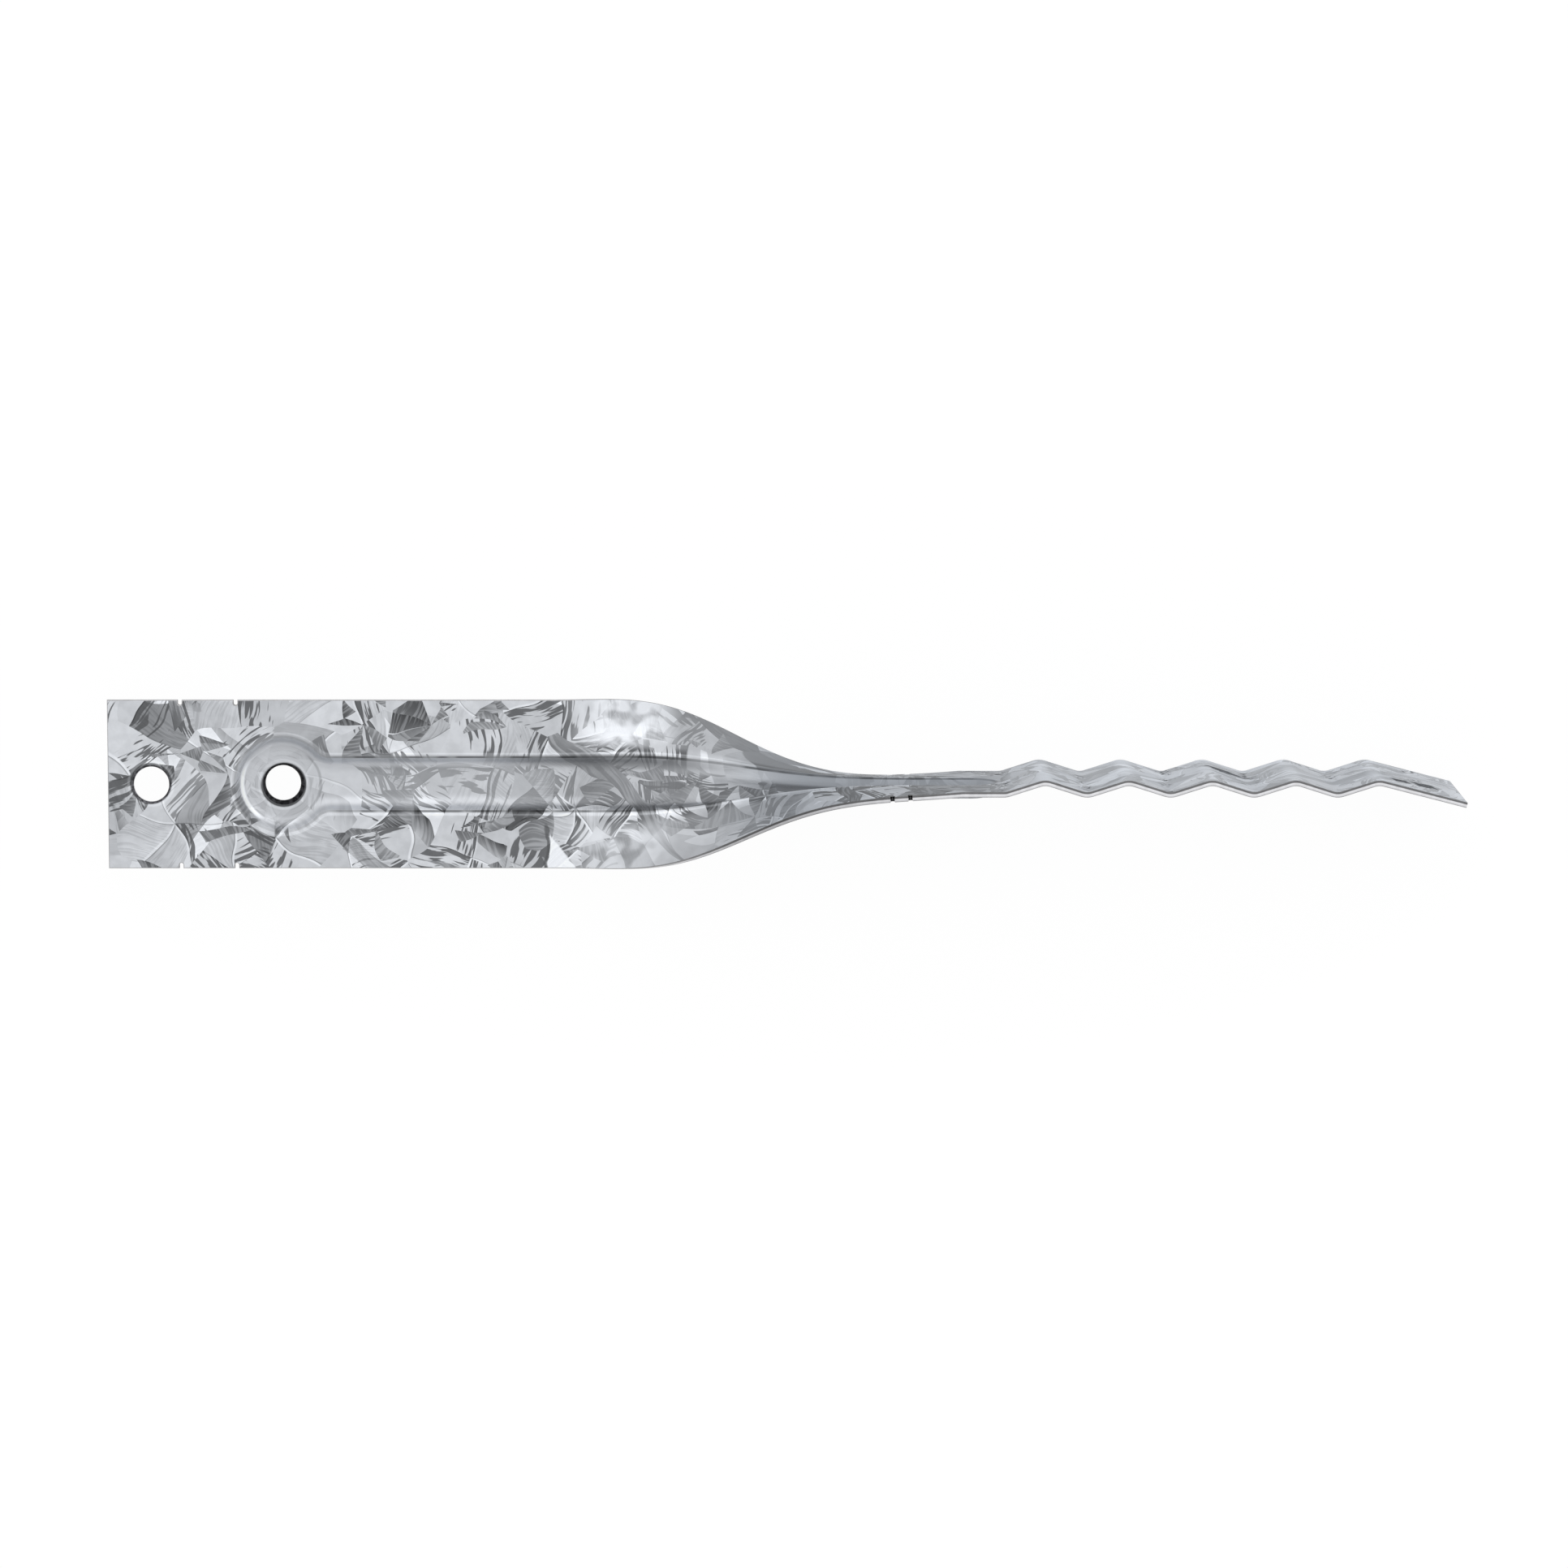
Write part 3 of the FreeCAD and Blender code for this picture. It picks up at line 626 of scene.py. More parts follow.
def growth(tree, place, scale, fewest, spread):
    """Crystals of one size: the chances of each sector, how a place lies in it, its combed lines and its feathers."""
    crystal = cells(tree, place, scale)
    chance = parts_of(tree, crystal.outputs["Color"])
    arm = calc_vector(tree, "SUBTRACT", place, crystal.outputs["Position"])
    along, beside, _ = parts_of(tree, arm)
    bearing = calc(tree, "DIVIDE", calc(tree, "ARCTAN2", beside, along), FULL_TURN)
    count = calc(tree, "FLOOR", calc(tree, "MULTIPLY_ADD", chance[1], spread, fewest))
    spoke = calc(tree, "MULTIPLY", calc(tree, "ADD", bearing, chance[0]), count)
    sector = calc(tree, "FLOOR", spoke)
    share = calc(tree, "SUBTRACT", spoke, sector)
    own = calc(tree, "MULTIPLY", chance[0], 31.0)
    seed = put(tree, "ShaderNodeCombineXYZ", {}, {0: sector, 1: own, 2: chance[2]})
    dice = put(tree, "ShaderNodeTexWhiteNoise", {"noise_dimensions": "3D"}, {"Vector": seed.outputs[0]})
    luck = parts_of(tree, dice.outputs["Color"])
    axis = calc(tree, "SUBTRACT", calc(tree, "DIVIDE", calc(tree, "ADD", sector, 0.5), count), chance[0])
    heading = calc(tree, "MULTIPLY", axis, -FULL_TURN)
    comb_turn = calc(tree, "ADD", heading, calc(tree, "MULTIPLY_ADD", luck[0], 2.6, -1.3))
    width = calc(tree, "DIVIDE", calc(tree, "MULTIPLY", calc_vector(tree, "LENGTH", arm), FULL_TURN), count)
    inside = calc(tree, "MULTIPLY", share, width)
    fade = calc(tree, "MULTIPLY_ADD", inside, 0.06, 0.38)
    barbs = strokes(tree, place, calc(tree, "ADD", heading, 0.75), 1.9, fade, calc(tree, "ADD", fade, 0.06))
    return {
        "chance": dice.outputs["Value"],
        "turn": chance[0],
        "luck": luck,
        "colour": dice.outputs["Color"],
        "share": share,
        "comb": strokes(tree, place, comb_turn, 2.8),
        "feather": calc(tree, "MULTIPLY", barbs, between(tree, luck[1], 0.38, 0.42)),
        "border": between(tree, inside, 0.2, 0.06),
        "ridge": between(tree, calc(tree, "SUBTRACT", width, inside), 0.4, 0.2),
    }


# %% Layers of crystals
PLATES_PER_MM, STARS_PER_MM, REGIONS_PER_MM = 0.085, 0.12, 0.03
LEAF, NEEDLE = (9.0, 2.2), (26.0, 2.6)
ANY_TURN = 6.28
PLATE_GREYS = [(0, 0.16), (0.06, 0.28), (0.12, 0.5), (0.35, 0.6), (0.7, 0.67), (1, 0.74)]


def plates(tree, place):
    """The large crystals: their grey, and all that is drawn on them later."""
    plate = growth(tree, place, PLATES_PER_MM, 4.0, 4.0)
    slope = calc(tree, "MULTIPLY_ADD", plate["luck"][2], 0.4, -0.15)
    shade = calc(tree, "MULTIPLY_ADD", calc(tree, "SUBTRACT", plate["share"], 0.5), slope, 1.0)
    grey = calc(tree, "MULTIPLY", ramp(tree, plate["chance"], PLATE_GREYS), shade)
    shown = between(tree, plate["luck"][2], 0.5, 0.9)
    plate["lines"] = calc(tree, "MULTIPLY", plate["comb"], shown)
    return calc(tree, "MULTIPLY_ADD", plate["lines"], -0.1, grey), plate


def leaves(tree, grey, place, plate):
    """Slender leaves on the large crystals, some dark and combed, some light."""
    turn = calc(tree, "MULTIPLY", plate["turn"], ANY_TURN)
    luck, beside = splinters(tree, place, turn, *LEAF)
    leaf = calc(tree, "MULTIPLY_ADD", beside, 0.3, calc(tree, "MULTIPLY_ADD", luck[1], 0.18, 0.22))
    leaf = calc(tree, "MULTIPLY_ADD", strokes(tree, place, calc(tree, "ADD", turn, 0.9), 1.6), 0.12, leaf)
    grey = mixed(tree, between(tree, luck[0], 0.9, 0.905), grey, leaf)
    return mixed(tree, between(tree, luck[0], 0.07, 0.065), grey, 0.88)


def borders(tree, grey, plate):
    """Dark feathers, light ridges and dark borders of the large crystals."""
    grey = mixed(tree, calc(tree, "MULTIPLY", plate["feather"], 0.9), grey, 0.12)
    ridge = calc(tree, "MULTIPLY", plate["ridge"], between(tree, plate["luck"][0], 0.5, 0.6))
    grey = mixed(tree, ridge, grey, 0.85)
    return calc(tree, "MULTIPLY", grey, calc(tree, "MULTIPLY_ADD", plate["border"], -0.4, 1.0))


def blades(tree, grey, place):
    """Stars of narrow dark blades."""
    star = growth(tree, calc_vector(tree, "ADD", place, (53, 17, 0)), STARS_PER_MM, 8.0, 6.0)
    blade = calc(tree, "MULTIPLY_ADD", star["luck"][2], 0.16, 0.08)
    blade = calc(tree, "MULTIPLY_ADD", star["share"], 0.09, blade)
    blade = calc(tree, "MULTIPLY_ADD", star["comb"], 0.14, blade)
    return mixed(tree, between(tree, star["chance"], 0.86, 0.865), grey, blade)


def needles(tree, grey, place, warped):
    """A few long dark needles, which lie in one direction within a region."""
    region = cells(tree, place, REGIONS_PER_MM)
    heading = calc(tree, "MULTIPLY", parts_of(tree, region.outputs["Color"])[0], ANY_TURN)
    luck, beside = splinters(tree, warped, heading, *NEEDLE)
    needle = calc(tree, "MULTIPLY_ADD", beside, 0.1, calc(tree, "MULTIPLY_ADD", luck[1], 0.14, 0.14))
    needle = calc(tree, "MULTIPLY_ADD", strokes(tree, warped, calc(tree, "ADD", heading, 0.2), 2.0), 0.14, needle)
    return mixed(tree, between(tree, luck[0], 0.935, 0.94), grey, needle)


# %% The spangle group
def spangle_group():
    """Grey, comb lines and tilt of zinc crystals, at a place on the flat sheet in millimetres."""
    results = {"Grey": "Float", "Comb": "Float", "Tilt": "Color"}
    tree, given, out = new_group("zinc_spangle", {"Place": "Vector"}, results)
    place = given["Place"]
    feeds = {"Vector": place, "Scale": 0.09, "Detail": 1.0}
    sway = put(tree, "ShaderNodeTexNoise", {"noise_dimensions": "2D"}, feeds).outputs["Color"]
    sway = calc_vector(tree, "SUBTRACT", sway, (0.5, 0.5, 0.5))
    warped = calc_vector(tree, "MULTIPLY_ADD", sway, (5, 5, 0), place)
    grey, plate = plates(tree, warped)
    grey = leaves(tree, grey, warped, plate)
    grey = borders(tree, grey, plate)
    grey = blades(tree, grey, warped)
    grey = needles(tree, grey, place, warped)
    mottle = between(tree, noise(tree, place, 0.5, 3.0), 0.3, 0.7, 0.94, 1.05)
    tilt = calc_vector(tree, "SUBTRACT", plate["colour"], (0.5, 0.5, 0.5))
    tilt = calc_vector(tree, "MULTIPLY_ADD", tilt, (0.08, 0.08, 0), (0.5, 0.5, 1))
    tree.links.new(calc(tree, "MULTIPLY", grey, mottle), out["Grey"])
    tree.links.new(plate["lines"], out["Comb"])
    tree.links.new(tilt, out["Tilt"])
    return tree


spangle = spangle_group()
print("the spangle group has", len(spangle.nodes), "nodes")

# %% [markdown]
# ## What forming did to the zinc, with painted light and shade
# The punch, the twisting jaws and the crimping rolls all press on the zinc. In the channel the crystals are calmer
# and the dish is ringed, the neck is stretched to a dull blue-grey, and the rolls smear the crystals of the tail and
# leave dark slivers there. Painted light and shade are laid in with them: a painted crease shadow and a painted
# highlight along the channel's rim, painted light on its far wall and painted shade where the twist turns its floor
# and wall away, painted shade at the foot of the dish's wall and a painted highlight on one arc of it, painted
# shadows and highlights round the nail holes, painted highlights and a painted crease shadow where the twist starts,
# and painted highlights on the crests of the tail and painted shade as dark flecks in its troughs. Each of these is a
# soft mask over the flat map or over the steps of the channel, laid on the spangle in the order of the real work.
# Both faces of the sheet bear these marks, so they make one group that each face's finish gives its own crystals. The
# dark slivers and flecks are no metal and stay dark when they are seen at a low angle, so their mask also goes out of
# the group.

# %% Marks of the punch, and painted light and shade in the channel and the dish
def channel_marks(tree, grey, place, reach):
    """The zinc's grey in the pressed channel: calm on the floor, painted light on the far wall, painted shade where
    the twist turns floor and wall away, a painted crease shadow inside the rim and a painted highlight on its round.
    """
    along, across, _ = parts_of(tree, place)
    # painted shade: the calm floor's grey falls from 0.63 to 0.3 where the twist turns the floor away from the light
    floor_grey = between(tree, along, 54.0, 68.0, 0.63, 0.3)
    grey = mixed(tree, between(tree, reach, 0.2, -0.6, 0.0, 0.42), grey, floor_grey)
    # painted light on the far wall, lighter on the plate; painted shade on it where the twist starts, lifted again
    # along the neck
    wall_grey = between(tree, along, 48.0, 64.0, 0.8, 0.3)
    wall_grey = calc(tree, "ADD", wall_grey, between(tree, along, 74.0, 92.0, 0.0, 0.3))
    far_side = between(tree, across, -3.0, 2.0, 0.05, 0.7)
    wall = calc(tree, "MULTIPLY", band(tree, reach, -1.9, -0.9, 0.1, 0.5), far_side)
    grey = mixed(tree, wall, grey, wall_grey)
    # painted crease shadow: a thin dark line just inside the rim, lighter in the dish, its depth varied by noise
    crease_shade_depth = between(tree, noise(tree, place, 0.3), 0.35, 0.6, 0.32, 0.6)
    line = calc(tree, "MULTIPLY", grey, mixed(tree, between(tree, along, 24.0, 30.0), 0.75, crease_shade_depth))
    grey = mixed(tree, band(tree, reach, 0.03, 0.11, 0.23, 0.31), grey, line)
    # painted highlight: a thin light line on the round of the rim
    return calc(tree, "MULTIPLY_ADD", band(tree, reach, 0.34, 0.46, 0.52, 0.72), 0.13, grey)


def dish_marks(tree, grey, place, reach):
    """The zinc's grey in the dish: a calm floor, fine rings, painted shade at the foot of its wall by the channel and
    a painted highlight on one arc of its wall.
    """
    arm = calc_vector(tree, "SUBTRACT", place, (DISH_PLACE, 0, 0))
    along, beside, _ = parts_of(tree, arm)
    radius = calc_vector(tree, "LENGTH", arm)
    grey = mixed(tree, between(tree, radius, 6.2, 5.4, 0.0, 0.65), grey, 0.6)
    rings = between(tree, calc(tree, "SINE", calc(tree, "MULTIPLY", radius, 8.0)), 0.5, 1.0, 0.0, 0.06)
    rings = calc(tree, "MULTIPLY", rings, between(tree, radius, 6.2, 5.6))
    rings = calc(tree, "MULTIPLY", rings, between(tree, noise(tree, place, 0.4), 0.4, 0.6))
    grey = calc(tree, "SUBTRACT", grey, rings)
    # painted shade: a dark band along the foot of the dish's wall on the channel's side
    mouth = between(tree, along, 3.4, 4.2, 0.0, -0.25)
    mouth = calc(tree, "MULTIPLY", band(tree, radius, 5.25, 5.45, 5.6, 5.85), mouth)
    grey = calc(tree, "MULTIPLY", grey, calc(tree, "ADD", mouth, 1.0))
    # painted highlight: a bright arc on the left side of the dish's wall
    bearing = calc(tree, "ARCTAN2", beside, calc(tree, "MULTIPLY", along, -1.0))
    facing = between(tree, calc(tree, "ABSOLUTE", calc(tree, "ADD", bearing, 0.25)), 0.95, 0.55)
    wall_arc_highlight = calc(tree, "MULTIPLY", band(tree, reach, -1.35, -1.0, -0.7, -0.4), facing)
    return mixed(tree, calc(tree, "MULTIPLY", wall_arc_highlight, between(tree, radius, 8.0, 7.5)), grey, 1.0)


# %% Painted shade and highlights round the nail holes
HOLE_SHADOWS = ((-0.05, 0.12, 3.05, 0.85), (DISH_PLACE + 0.07, -0.2, 3.35, 1.0))


def hole_shade_marks(tree, grey, place, marks_and_shade):
    """The zinc's grey round the nail holes: a painted shadow of the rolled lip, off centre, with a painted highlight
    on a ring outside it.
    """
    for x, y, radius, darkness in HOLE_SHADOWS:
        away = calc_vector(tree, "DISTANCE", place, (x, y, 0))
        # painted highlight: a light ring just outside the painted shadow
        rim = band(tree, away, radius, radius + 0.15, radius + 0.3, radius + 0.55)
        grey = calc(tree, "MULTIPLY_ADD", calc(tree, "MULTIPLY", rim, marks_and_shade), 0.12, grey)
        # painted shadow of the rolled lip, off centre, darkest round the dish's hole
        lip_shadow = between(tree, away, radius + 0.1, radius - 0.1, 0.0, darkness)
        grey = mixed(tree, calc(tree, "MULTIPLY", lip_shadow, marks_and_shade), grey, 0.06)
    return grey


# %% Marks of the rolls, and painted light and shade on the crimps
SHARD_TURN = 0.45
SHARDS = ((158.4, 4.0, 4.2, 2.2), (183.4, -6.0, 1.9, 2.2), (187.2, -4.2, 2.5, 3.0))


def shard(tree, place, x, y, half_length, half_width):
    """A mask for one dark sliver, pointed at both ends."""
    arm = turned(tree, calc_vector(tree, "SUBTRACT", place, (x, y, 0)), SHARD_TURN)
    along, beside, _ = parts_of(tree, calc_vector(tree, "DIVIDE", arm, (half_length, half_width, 1)))
    ragged = calc(tree, "MULTIPLY_ADD", noise(tree, place, 0.9), 0.8, -0.4)
    beside = calc(tree, "ABSOLUTE", calc(tree, "ADD", beside, ragged))
    return between(tree, calc(tree, "ADD", calc(tree, "ABSOLUTE", along), beside), 1.1, 0.7)


def roll_marks(tree, grey, along, place, rolled, marks_and_shade):
    """The zinc's grey in the tail: smeared, with a painted highlight on the crests, painted shade as dark flecks in
    the troughs, and dark slivers.
    """
    grey = mixed(tree, calc(tree, "MULTIPLY", rolled, 0.6), grey, 0.43)
    fold = calc(tree, "PINGPONG", calc(tree, "SUBTRACT", along, CRIMP_START), CRIMP_PITCH / 2)
    # painted highlight: the crests of the crimps are made lighter
    grey = calc(tree, "MULTIPLY_ADD", calc(tree, "MULTIPLY", between(tree, fold, 4.6, 5.9), rolled), 0.08, grey)
    # painted shade: dark flecks gathered in the troughs; the slivers added to them below are marks of their own
    flecks = calc(tree, "MULTIPLY", between(tree, noise(tree, place, 1.1, 2.0), 0.54, 0.6), rolled)
    flecks = calc(tree, "MULTIPLY", flecks, between(tree, fold, 1.8, 0.5))
    dirt_and_trough_shade = calc(tree, "MULTIPLY", flecks, between(tree, noise(tree, place, 0.16), 0.48, 0.6))
    for sliver in SHARDS:
        dirt_and_trough_shade = calc(tree, "MAXIMUM", dirt_and_trough_shade, shard(tree, place, *sliver))
    streaks = between(tree, strokes(tree, place, 0.6, 1.6), 0.0, 1.0, 1.0, 0.7)
    dirt_and_trough_shade = calc(tree, "MULTIPLY", calc(tree, "MULTIPLY", dirt_and_trough_shade, streaks), marks_and_shade)
    return mixed(tree, dirt_and_trough_shade, grey, 0.04), dirt_and_trough_shade


# %% Painted light where the twist starts, and marks of the twist
TWIST_CREASE_PLACE = 58.5
FLANGE_HIGHLIGHT_SPAN = (60.0, 68.0, 72.0, 79.0)
DRAWN_FLANGES = (64.0, 76.0, 92.0, 102.0)
STRETCHED_NECK = (78.0, 100.0, 118.0, 134.0)
ROLLED_TAIL = (112.0, 130.0)


def twist_start_light_and_shade(tree, grey, along, across, place):
    """The zinc's grey where the twist starts: painted highlights on the flanges, and at the bend a painted highlight
    on a narrow facet and a painted crease shadow.
    """
    # painted highlight: the flanges near-white where the start of the twist tilts them towards the lamp, strongest on
    # the upper flange
    side = calc(tree, "MAXIMUM", between(tree, across, 4.8, 7.0), between(tree, across, -5.0, -8.0, 0.0, 0.7))
    flange_highlight = calc(tree, "MULTIPLY", band(tree, along, *FLANGE_HIGHLIGHT_SPAN), side)
    flange_highlight = calc(tree, "MULTIPLY", flange_highlight, between(tree, noise(tree, place, 0.35), 0.3, 0.55, 0.35, 0.9))
    grey = mixed(tree, flange_highlight, grey, 0.98)
    # painted crease shadow: a thin dark line across the lower flange at the bend where the twist starts
    below = between(tree, across, -5.6, -6.4)
    sway = calc(tree, "MULTIPLY_ADD", noise(tree, place, 0.4), 1.4, -0.7)
    past = calc(tree, "ADD", calc(tree, "SUBTRACT", along, TWIST_CREASE_PLACE), sway)
    line = calc(tree, "MULTIPLY", band(tree, past, -0.6, -0.4, -0.15, 0.0), below)
    grey = mixed(tree, calc(tree, "MULTIPLY", line, 0.8), grey, 0.12)
    # painted highlight: a bright narrow facet just past the crease
    slant = calc(tree, "MULTIPLY_ADD", across, 0.78, past)
    facet = calc(tree, "MULTIPLY", between(tree, past, 0.0, 0.2), between(tree, slant, -5.5, -5.9))
    return mixed(tree, calc(tree, "MULTIPLY", facet, 0.9), grey, 1.0)


def twist_marks(tree, grey, place, marks_and_shade):
    """The zinc's grey after the twist and the rolls, painted light and shade among it, how hard the sheet was worked,
    and the mask of dark slivers and painted trough shade.
    """
    along, across, _ = parts_of(tree, place)
    rolled = between(tree, along, *ROLLED_TAIL)
    grey, dirt_and_trough_shade = roll_marks(tree, grey, along, place, rolled, marks_and_shade)
    flange = between(tree, calc(tree, "ABSOLUTE", across), 4.8, 6.0)
    drawn = calc(tree, "MULTIPLY", band(tree, along, *DRAWN_FLANGES), flange)
    grey = mixed(tree, calc(tree, "MULTIPLY", drawn, 0.5), grey, 0.44)
    neck = band(tree, along, *STRETCHED_NECK)
    grey = calc(tree, "MULTIPLY", grey, between(tree, neck, 0.0, 1.0, 1.0, 0.65))
    return twist_start_light_and_shade(tree, grey, along, across, place), calc(tree, "MAXIMUM", neck, rolled), dirt_and_trough_shade


# %% The group of forming marks and painted light
def forming_group():
    """What the punch, the jaws and the rolls made of the zinc's grey, with painted light and shade laid in, how hard
    they worked it, and the mask of dark slivers and painted trough shade.
    """
    takes = {"Grey": "Float", "Place": "Vector", "Reach": "Float", "MarksAndShade": "Float"}
    results = {"Grey": "Float", "Worked": "Float", "DirtAndShade": "Float"}
    tree, given, out = new_group("forming_marks_and_painted_light", takes, results)
    grey = channel_marks(tree, given["Grey"], given["Place"], given["Reach"])
    grey = dish_marks(tree, grey, given["Place"], given["Reach"])
    grey = hole_shade_marks(tree, grey, given["Place"], given["MarksAndShade"])
    grey, worked, dirt_and_trough_shade = twist_marks(tree, grey, given["Place"], given["MarksAndShade"])
    tree.links.new(grey, out["Grey"])
    tree.links.new(worked, out["Worked"])
    tree.links.new(dirt_and_trough_shade, out["DirtAndShade"])
    return tree


forming = forming_group()
print("the group of forming marks has", len(forming.nodes), "nodes")

# %% Helpers for a finish
ZINC_MAP = strip.data.uv_layers[0].name


def metal(name):
    """A new metal finish: its tree and its shader."""
    made = bpy.data.materials.new(name)
    made.use_nodes = True
    shader = made.node_tree.nodes["Principled BSDF"]
    shader.inputs["Metallic"].default_value = 1
    return made, made.node_tree, shader


def sheet_place(tree):
    """Where a point was on the flat sheet, in millimetres from the end hole."""
    flat = put(tree, "ShaderNodeUVMap", {"uv_map": ZINC_MAP}, {}).outputs[0]
    return calc_vector(tree, "MULTIPLY_ADD", flat, (SPAN, SPAN, 0), (-END_MARGIN, -HALF_WIDTH, 0))


def layer(tree, name):
    """The value of one of the mesh's point layers."""
    return put(tree, "ShaderNodeAttribute", {"attribute_name": name}, {}).outputs["Fac"]


# %% Galvanised faces
def galvanised(name, shift, marks_and_shade):
    """Zinc-coated face of the sheet, with crystals taken from a place of their own, and a share of the dark marks and
    of the painted shade and highlights round the holes and in the troughs.
    """
    made, tree, shader = metal(name)
    place = sheet_place(tree)
    zinc = put(tree, "ShaderNodeGroup", {"node_tree": spangle}, {"Place": calc_vector(tree, "ADD", place, shift)})
    feeds = {"Grey": zinc.outputs["Grey"], "Place": place, "Reach": layer(tree, "reach"), "MarksAndShade": marks_and_shade}
    formed = put(tree, "ShaderNodeGroup", {"node_tree": forming}, feeds)
    grey, worked = formed.outputs["Grey"], formed.outputs["Worked"]
    red = calc(tree, "MULTIPLY", grey, between(tree, worked, 0.0, 1.0, 0.97, 0.94))
    blue = calc(tree, "MULTIPLY", grey, between(tree, worked, 0.0, 1.0, 1.05, 1.09))
    colour = put(tree, "ShaderNodeCombineColor", {}, {0: red, 1: grey, 2: blue})
    tree.links.new(colour.outputs[0], shader.inputs["Base Color"])
    tree.links.new(between(tree, grey, 0.1, 0.6, 0.5, 0.4), shader.inputs["Roughness"])
    # the dark slivers and the painted shade of the troughs are made no metal, so they stay dark at a low angle
    tree.links.new(calc(tree, "SUBTRACT", 1.0, formed.outputs["DirtAndShade"]), shader.inputs["Metallic"])
    shader.inputs["Specular IOR Level"].default_value = 0
    tilt = put(tree, "ShaderNodeNormalMap", {"uv_map": ZINC_MAP}, {"Color": zinc.outputs["Tilt"]}).outputs[0]
    relief = {"Strength": 0.25, "Distance": 0.00005, "Height": zinc.outputs["Comb"], "Normal": tilt}
    tree.links.new(put(tree, "ShaderNodeBump", {}, relief).outputs[0], shader.inputs["Normal"])
    print(name, "has", len(tree.nodes), "nodes")
    return made


# the face takes nearly all of the dark marks and of the painted hole and trough shade, the back only a little of them
strip.data.materials[FACE] = galvanised("galvanised_face", (END_MARGIN, HALF_WIDTH, 0), 0.9)
strip.data.materials[BACK] = galvanised("galvanised_back", (377, 95, 0), 0.2)

# %% [markdown]
# ## Finish: cut edges
# Shears leave three bands on an edge: a dark band next to the face, darker along the tail, a bright band burnished by
# the blade, and a dull band where the steel tore. The point layer "through" tells how deep in the sheet a place is,
# so it sorts the bands. The walls of the small notches take the same group with a lower brightness, as painted shade
# down in the narrow slots. The rolled edges of the punched holes are near black, painted shade of the holes, and so
# read as black rings.

# %% The cut-steel group
def cut_steel_group():
    """Bands across a cut edge: a dark band next to the face, darker along the tail, a bright burnished band and a
    dull torn band.
    """
    takes = {"Place": "Vector", "Through": "Float", "Brightest": "Float"}
    tree, given, out = new_group("cut_steel", takes, {"Grey": "Float", "Torn": "Float", "Streaks": "Float"})
    along = parts_of(tree, given["Place"])[0]
    streaks = noise(tree, given["Place"], 1.1, 2.0)
    torn = between(tree, calc(tree, "MULTIPLY_ADD", streaks, 0.3, given["Through"]), 0.7, 1.0)
    grey = calc(tree, "MULTIPLY", given["Brightest"], between(tree, torn, 0.0, 1.0, 1.0, 0.85))
    grey = calc(tree, "MULTIPLY", grey, between(tree, streaks, 0.3, 0.7, 0.92, 1.05))
    grey = calc(tree, "MULTIPLY", grey, between(tree, along, 94.0, 118.0, 0.75, 1.0))
    # a darker band next to the face: 0.7 of the grey on the plate, down to 0.2 along the tail
    arris = between(tree, along, 60.0, 94.0, 0.7, 0.2)
    grey = calc(tree, "MULTIPLY", grey, between(tree, given["Through"], 0.3, 0.46, arris, 1.0))
    grey = calc(tree, "MULTIPLY", grey, between(tree, given["Through"], 0.82, 0.96, 1.0, 0.55))
    for name, result in (("Grey", grey), ("Torn", torn), ("Streaks", streaks)):
        tree.links.new(result, out[name])
    return tree


cut_steel = cut_steel_group()
print("the cut-steel group has", len(cut_steel.nodes), "nodes")


# %% Sheared edges and notches
def sheared(name, brightest, roughest):
    """Cut steel across the thickness of the sheet, as bright and as rough as the tool left it."""
    made, tree, shader = metal(name)
    feeds = {"Place": sheet_place(tree), "Through": layer(tree, "through"), "Brightest": brightest}
    steel = put(tree, "ShaderNodeGroup", {"node_tree": cut_steel}, feeds).outputs
    blue = calc(tree, "MULTIPLY", steel["Grey"], 1.03)
    colour = put(tree, "ShaderNodeCombineColor", {}, {0: steel["Grey"], 1: steel["Grey"], 2: blue})
    tree.links.new(colour.outputs[0], shader.inputs["Base Color"])
    tree.links.new(mixed(tree, steel["Torn"], 0.35, roughest), shader.inputs["Roughness"])
    relief = {"Strength": 0.2, "Distance": 0.0001, "Height": steel["Streaks"]}
    tree.links.new(put(tree, "ShaderNodeBump", {}, relief).outputs[0], shader.inputs["Normal"])
    return made


strip.data.materials[CUT_EDGE] = sheared("sheared_edge", 0.85, 0.6)
# painted shade: the notch walls are given a brightness of 0.1, for the shade down in the narrow slots
strip.data.materials[NOTCHED] = sheared("notch_wall", 0.1, 0.75)
print("edges sheared, and", 2 * len(NOTCHES), "notches darkened")

# %% Punched holes
# painted shade: the rolled edges of the nail holes get a near-black grey, 0.02 to 0.07, for the shade down in the
# holes
pierced, tree, shader = metal("pierced_edge")
place = sheet_place(tree)
scores = noise(tree, place, 1.6, 2.0)
darkest = between(tree, parts_of(tree, place)[0], 6.0, 12.0, 0.07, 0.02)
steel = calc(tree, "MULTIPLY", darkest, between(tree, scores, 0.35, 0.7, 0.6, 2.2))
colour = put(tree, "ShaderNodeCombineColor", {}, {0: steel, 1: steel, 2: calc(tree, "MULTIPLY", steel, 1.1)})
tree.links.new(colour.outputs[0], shader.inputs["Base Color"])
tree.links.new(between(tree, scores, 0.3, 0.7, 0.55, 0.4), shader.inputs["Roughness"])
strip.data.materials[PIERCED] = pierced
print("the strip wears", [material.name for material in strip.data.materials])

# %% [markdown]
# ## Floor, light and camera
# The tie was shot in a white light tent from almost straight above. A white floor that glows a little for the camera
# and for the metal's mirror images gives that even white, and still takes the soft shadow. It is clear from below, so
# the back can be looked at too. The sky is brighter overhead and behind, and one large lamp stands where the start
# of the twist mirrors it. The long lens keeps the strip's sides parallel.

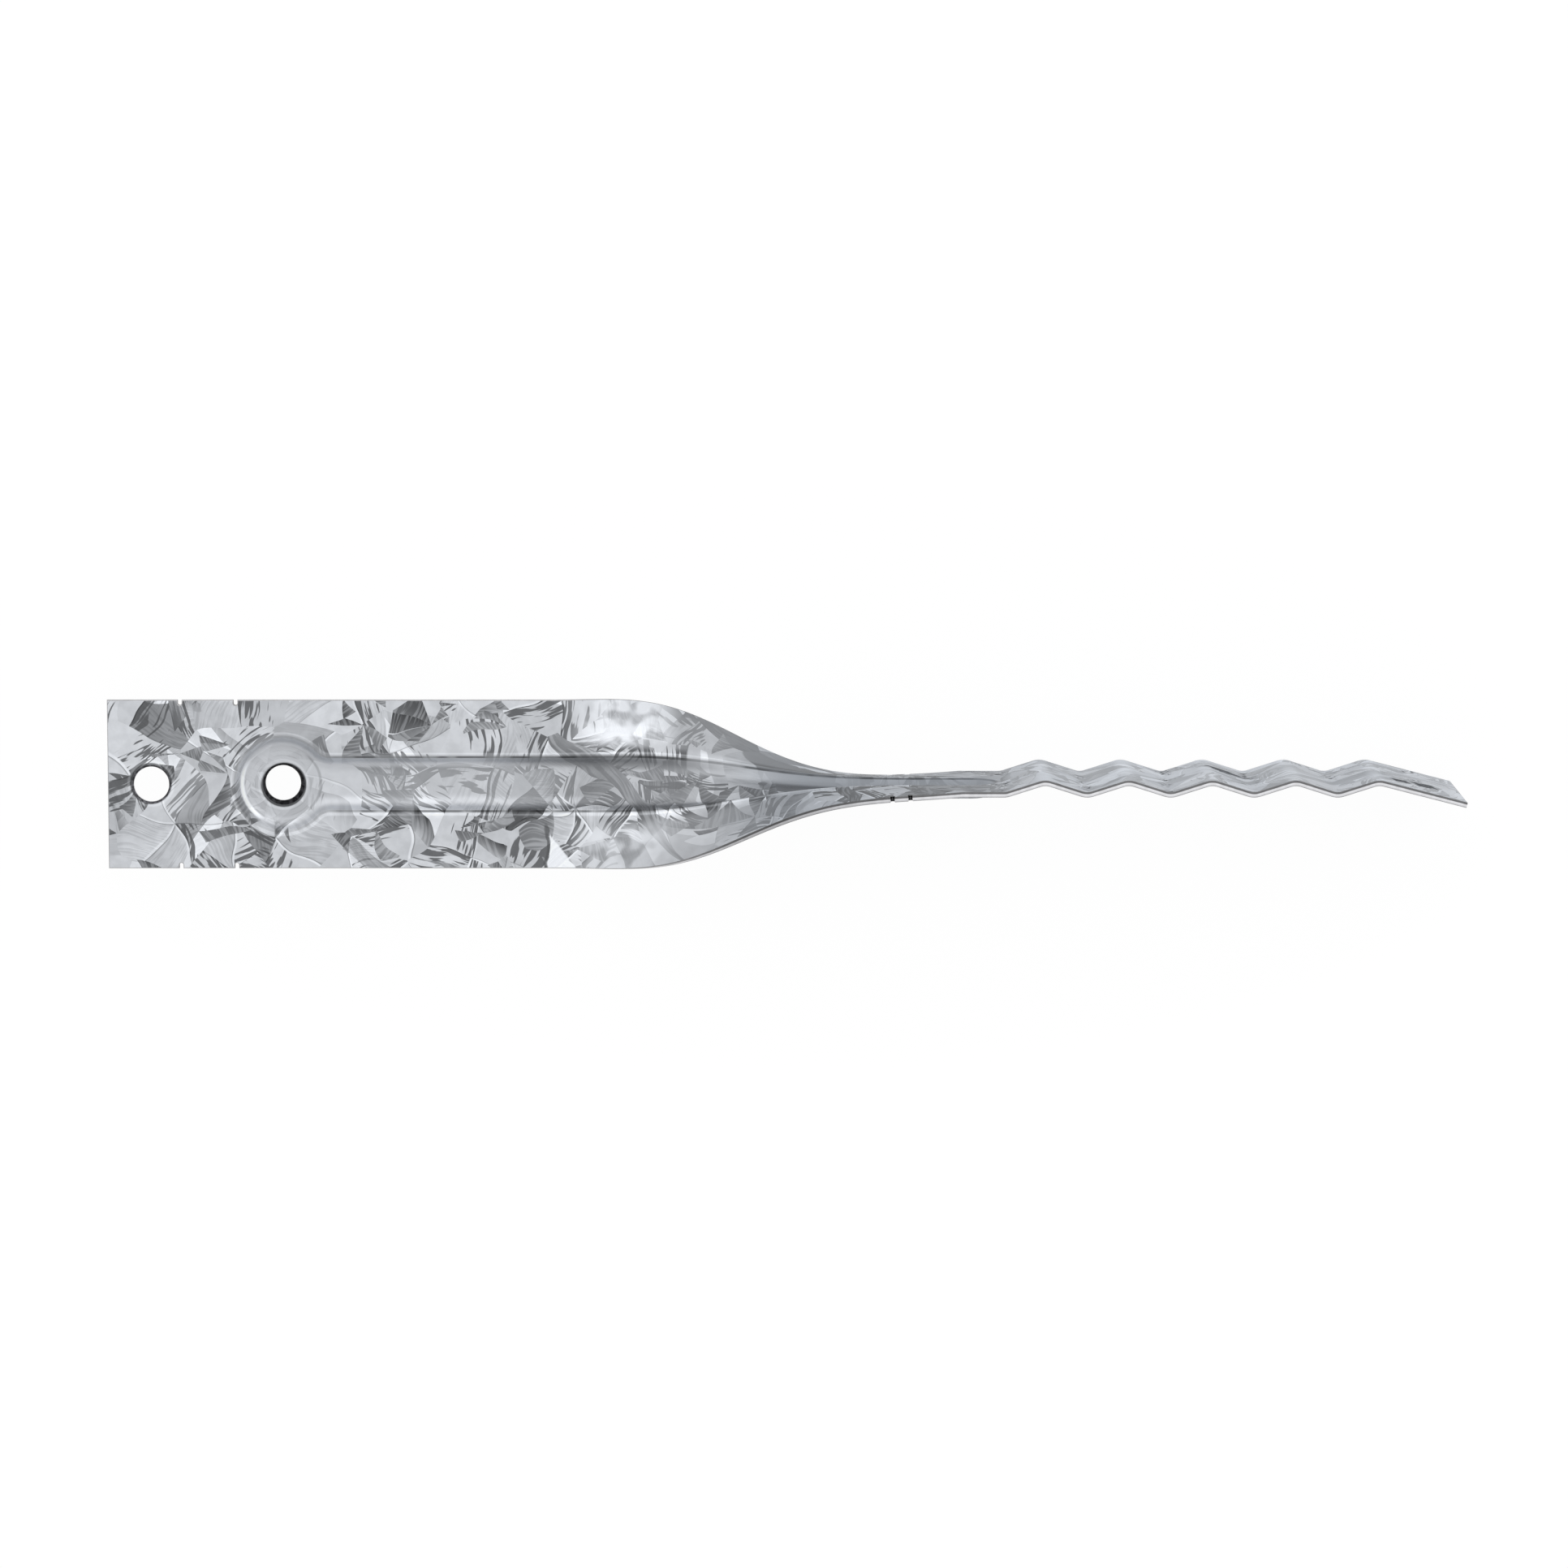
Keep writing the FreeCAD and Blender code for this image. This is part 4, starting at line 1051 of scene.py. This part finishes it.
# %% Floor
MIDDLE = 0.093
FLOOR_GAP = 0.0001
bpy.ops.mesh.primitive_plane_add(size=6, location=(MIDDLE, 0, cad_box[0][2] - FLOOR_GAP))
floor = bpy.context.object
floor.name = "floor"
white = bpy.data.materials.new("floor_white")
white.use_nodes = True
tree = white.node_tree
paper = tree.nodes["Principled BSDF"]
paper.inputs["Base Color"].default_value = (0.9, 0.9, 0.9, 1)
paper.inputs["Roughness"].default_value = 1
spot = put(tree, "ShaderNodeTexCoord", {}, {}).outputs["Object"]
away = calc_vector(tree, "LENGTH", calc_vector(tree, "DIVIDE", spot, (0.14, 0.055, 1)))
rays = tree.nodes.new("ShaderNodeLightPath").outputs
seen = calc(tree, "MAXIMUM", rays["Is Camera Ray"], rays["Is Glossy Ray"])
seen = calc(tree, "MULTIPLY", seen, between(tree, away, 0.75, 1.0, 0.94, 1.0))
glow = put(tree, "ShaderNodeEmission", {}, {"Color": (1, 1, 1, 1), "Strength": 1.015}).outputs[0]
lit = put(tree, "ShaderNodeMixShader", {}, {0: seen, 1: paper.outputs[0], 2: glow}).outputs[0]
below = tree.nodes.new("ShaderNodeNewGeometry").outputs["Backfacing"]
clear = tree.nodes.new("ShaderNodeBsdfTransparent").outputs[0]
sided = put(tree, "ShaderNodeMixShader", {}, {0: below, 1: lit, 2: clear}).outputs[0]
tree.links.new(sided, tree.nodes["Material Output"].inputs["Surface"])
floor.data.materials.append(white)
print("floor at", round(floor.location.z, 5), "m")

# %% Light
world = bpy.data.worlds.new("studio")
bpy.context.scene.world = world
world.use_nodes = True
tree = world.node_tree
toward = put(tree, "ShaderNodeTexCoord", {}, {}).outputs["Generated"]
facing = calc_vector(tree, "DOT_PRODUCT", toward, (0.1, 0.6, 0.79))
sky = between(tree, facing, -0.6, 1.0, 0.6, 0.9)
rays = tree.nodes.new("ShaderNodeLightPath").outputs
tree.links.new(mixed(tree, rays["Is Camera Ray"], sky, 1.0), tree.nodes["Background"].inputs["Strength"])
tree.nodes["Background"].inputs["Color"].default_value = (1, 1, 1, 1)
key = bpy.data.objects.new("key", bpy.data.lights.new("key", "AREA"))
key.data.size = 1.4
key.data.energy = 2.5
key.location = (0.12, 0.75, 1.0)
key.rotation_euler = (math.radians(-36.9), 0, 0)
bpy.context.scene.collection.objects.link(key)
print("one lamp of", key.data.energy, "W and a sky")

# %% Camera
CAMERA_PLACE, CAMERA_REACH, CAMERA_TILT = 0.0932, 0.95, 7.3
camera = bpy.data.objects.new("camera", bpy.data.cameras.new("camera"))
tilt = math.radians(CAMERA_TILT)
camera.location = (CAMERA_PLACE, CAMERA_REACH * math.sin(tilt), CAMERA_REACH * math.cos(tilt))
camera.rotation_euler = (-tilt, 0, 0)
camera.data.lens = 148
camera.data.sensor_width = 36
bpy.context.scene.collection.objects.link(camera)
bpy.context.scene.camera = camera
bpy.context.scene.view_settings.view_transform = "Standard"
print("camera at", [round(c, 3) for c in camera.location])
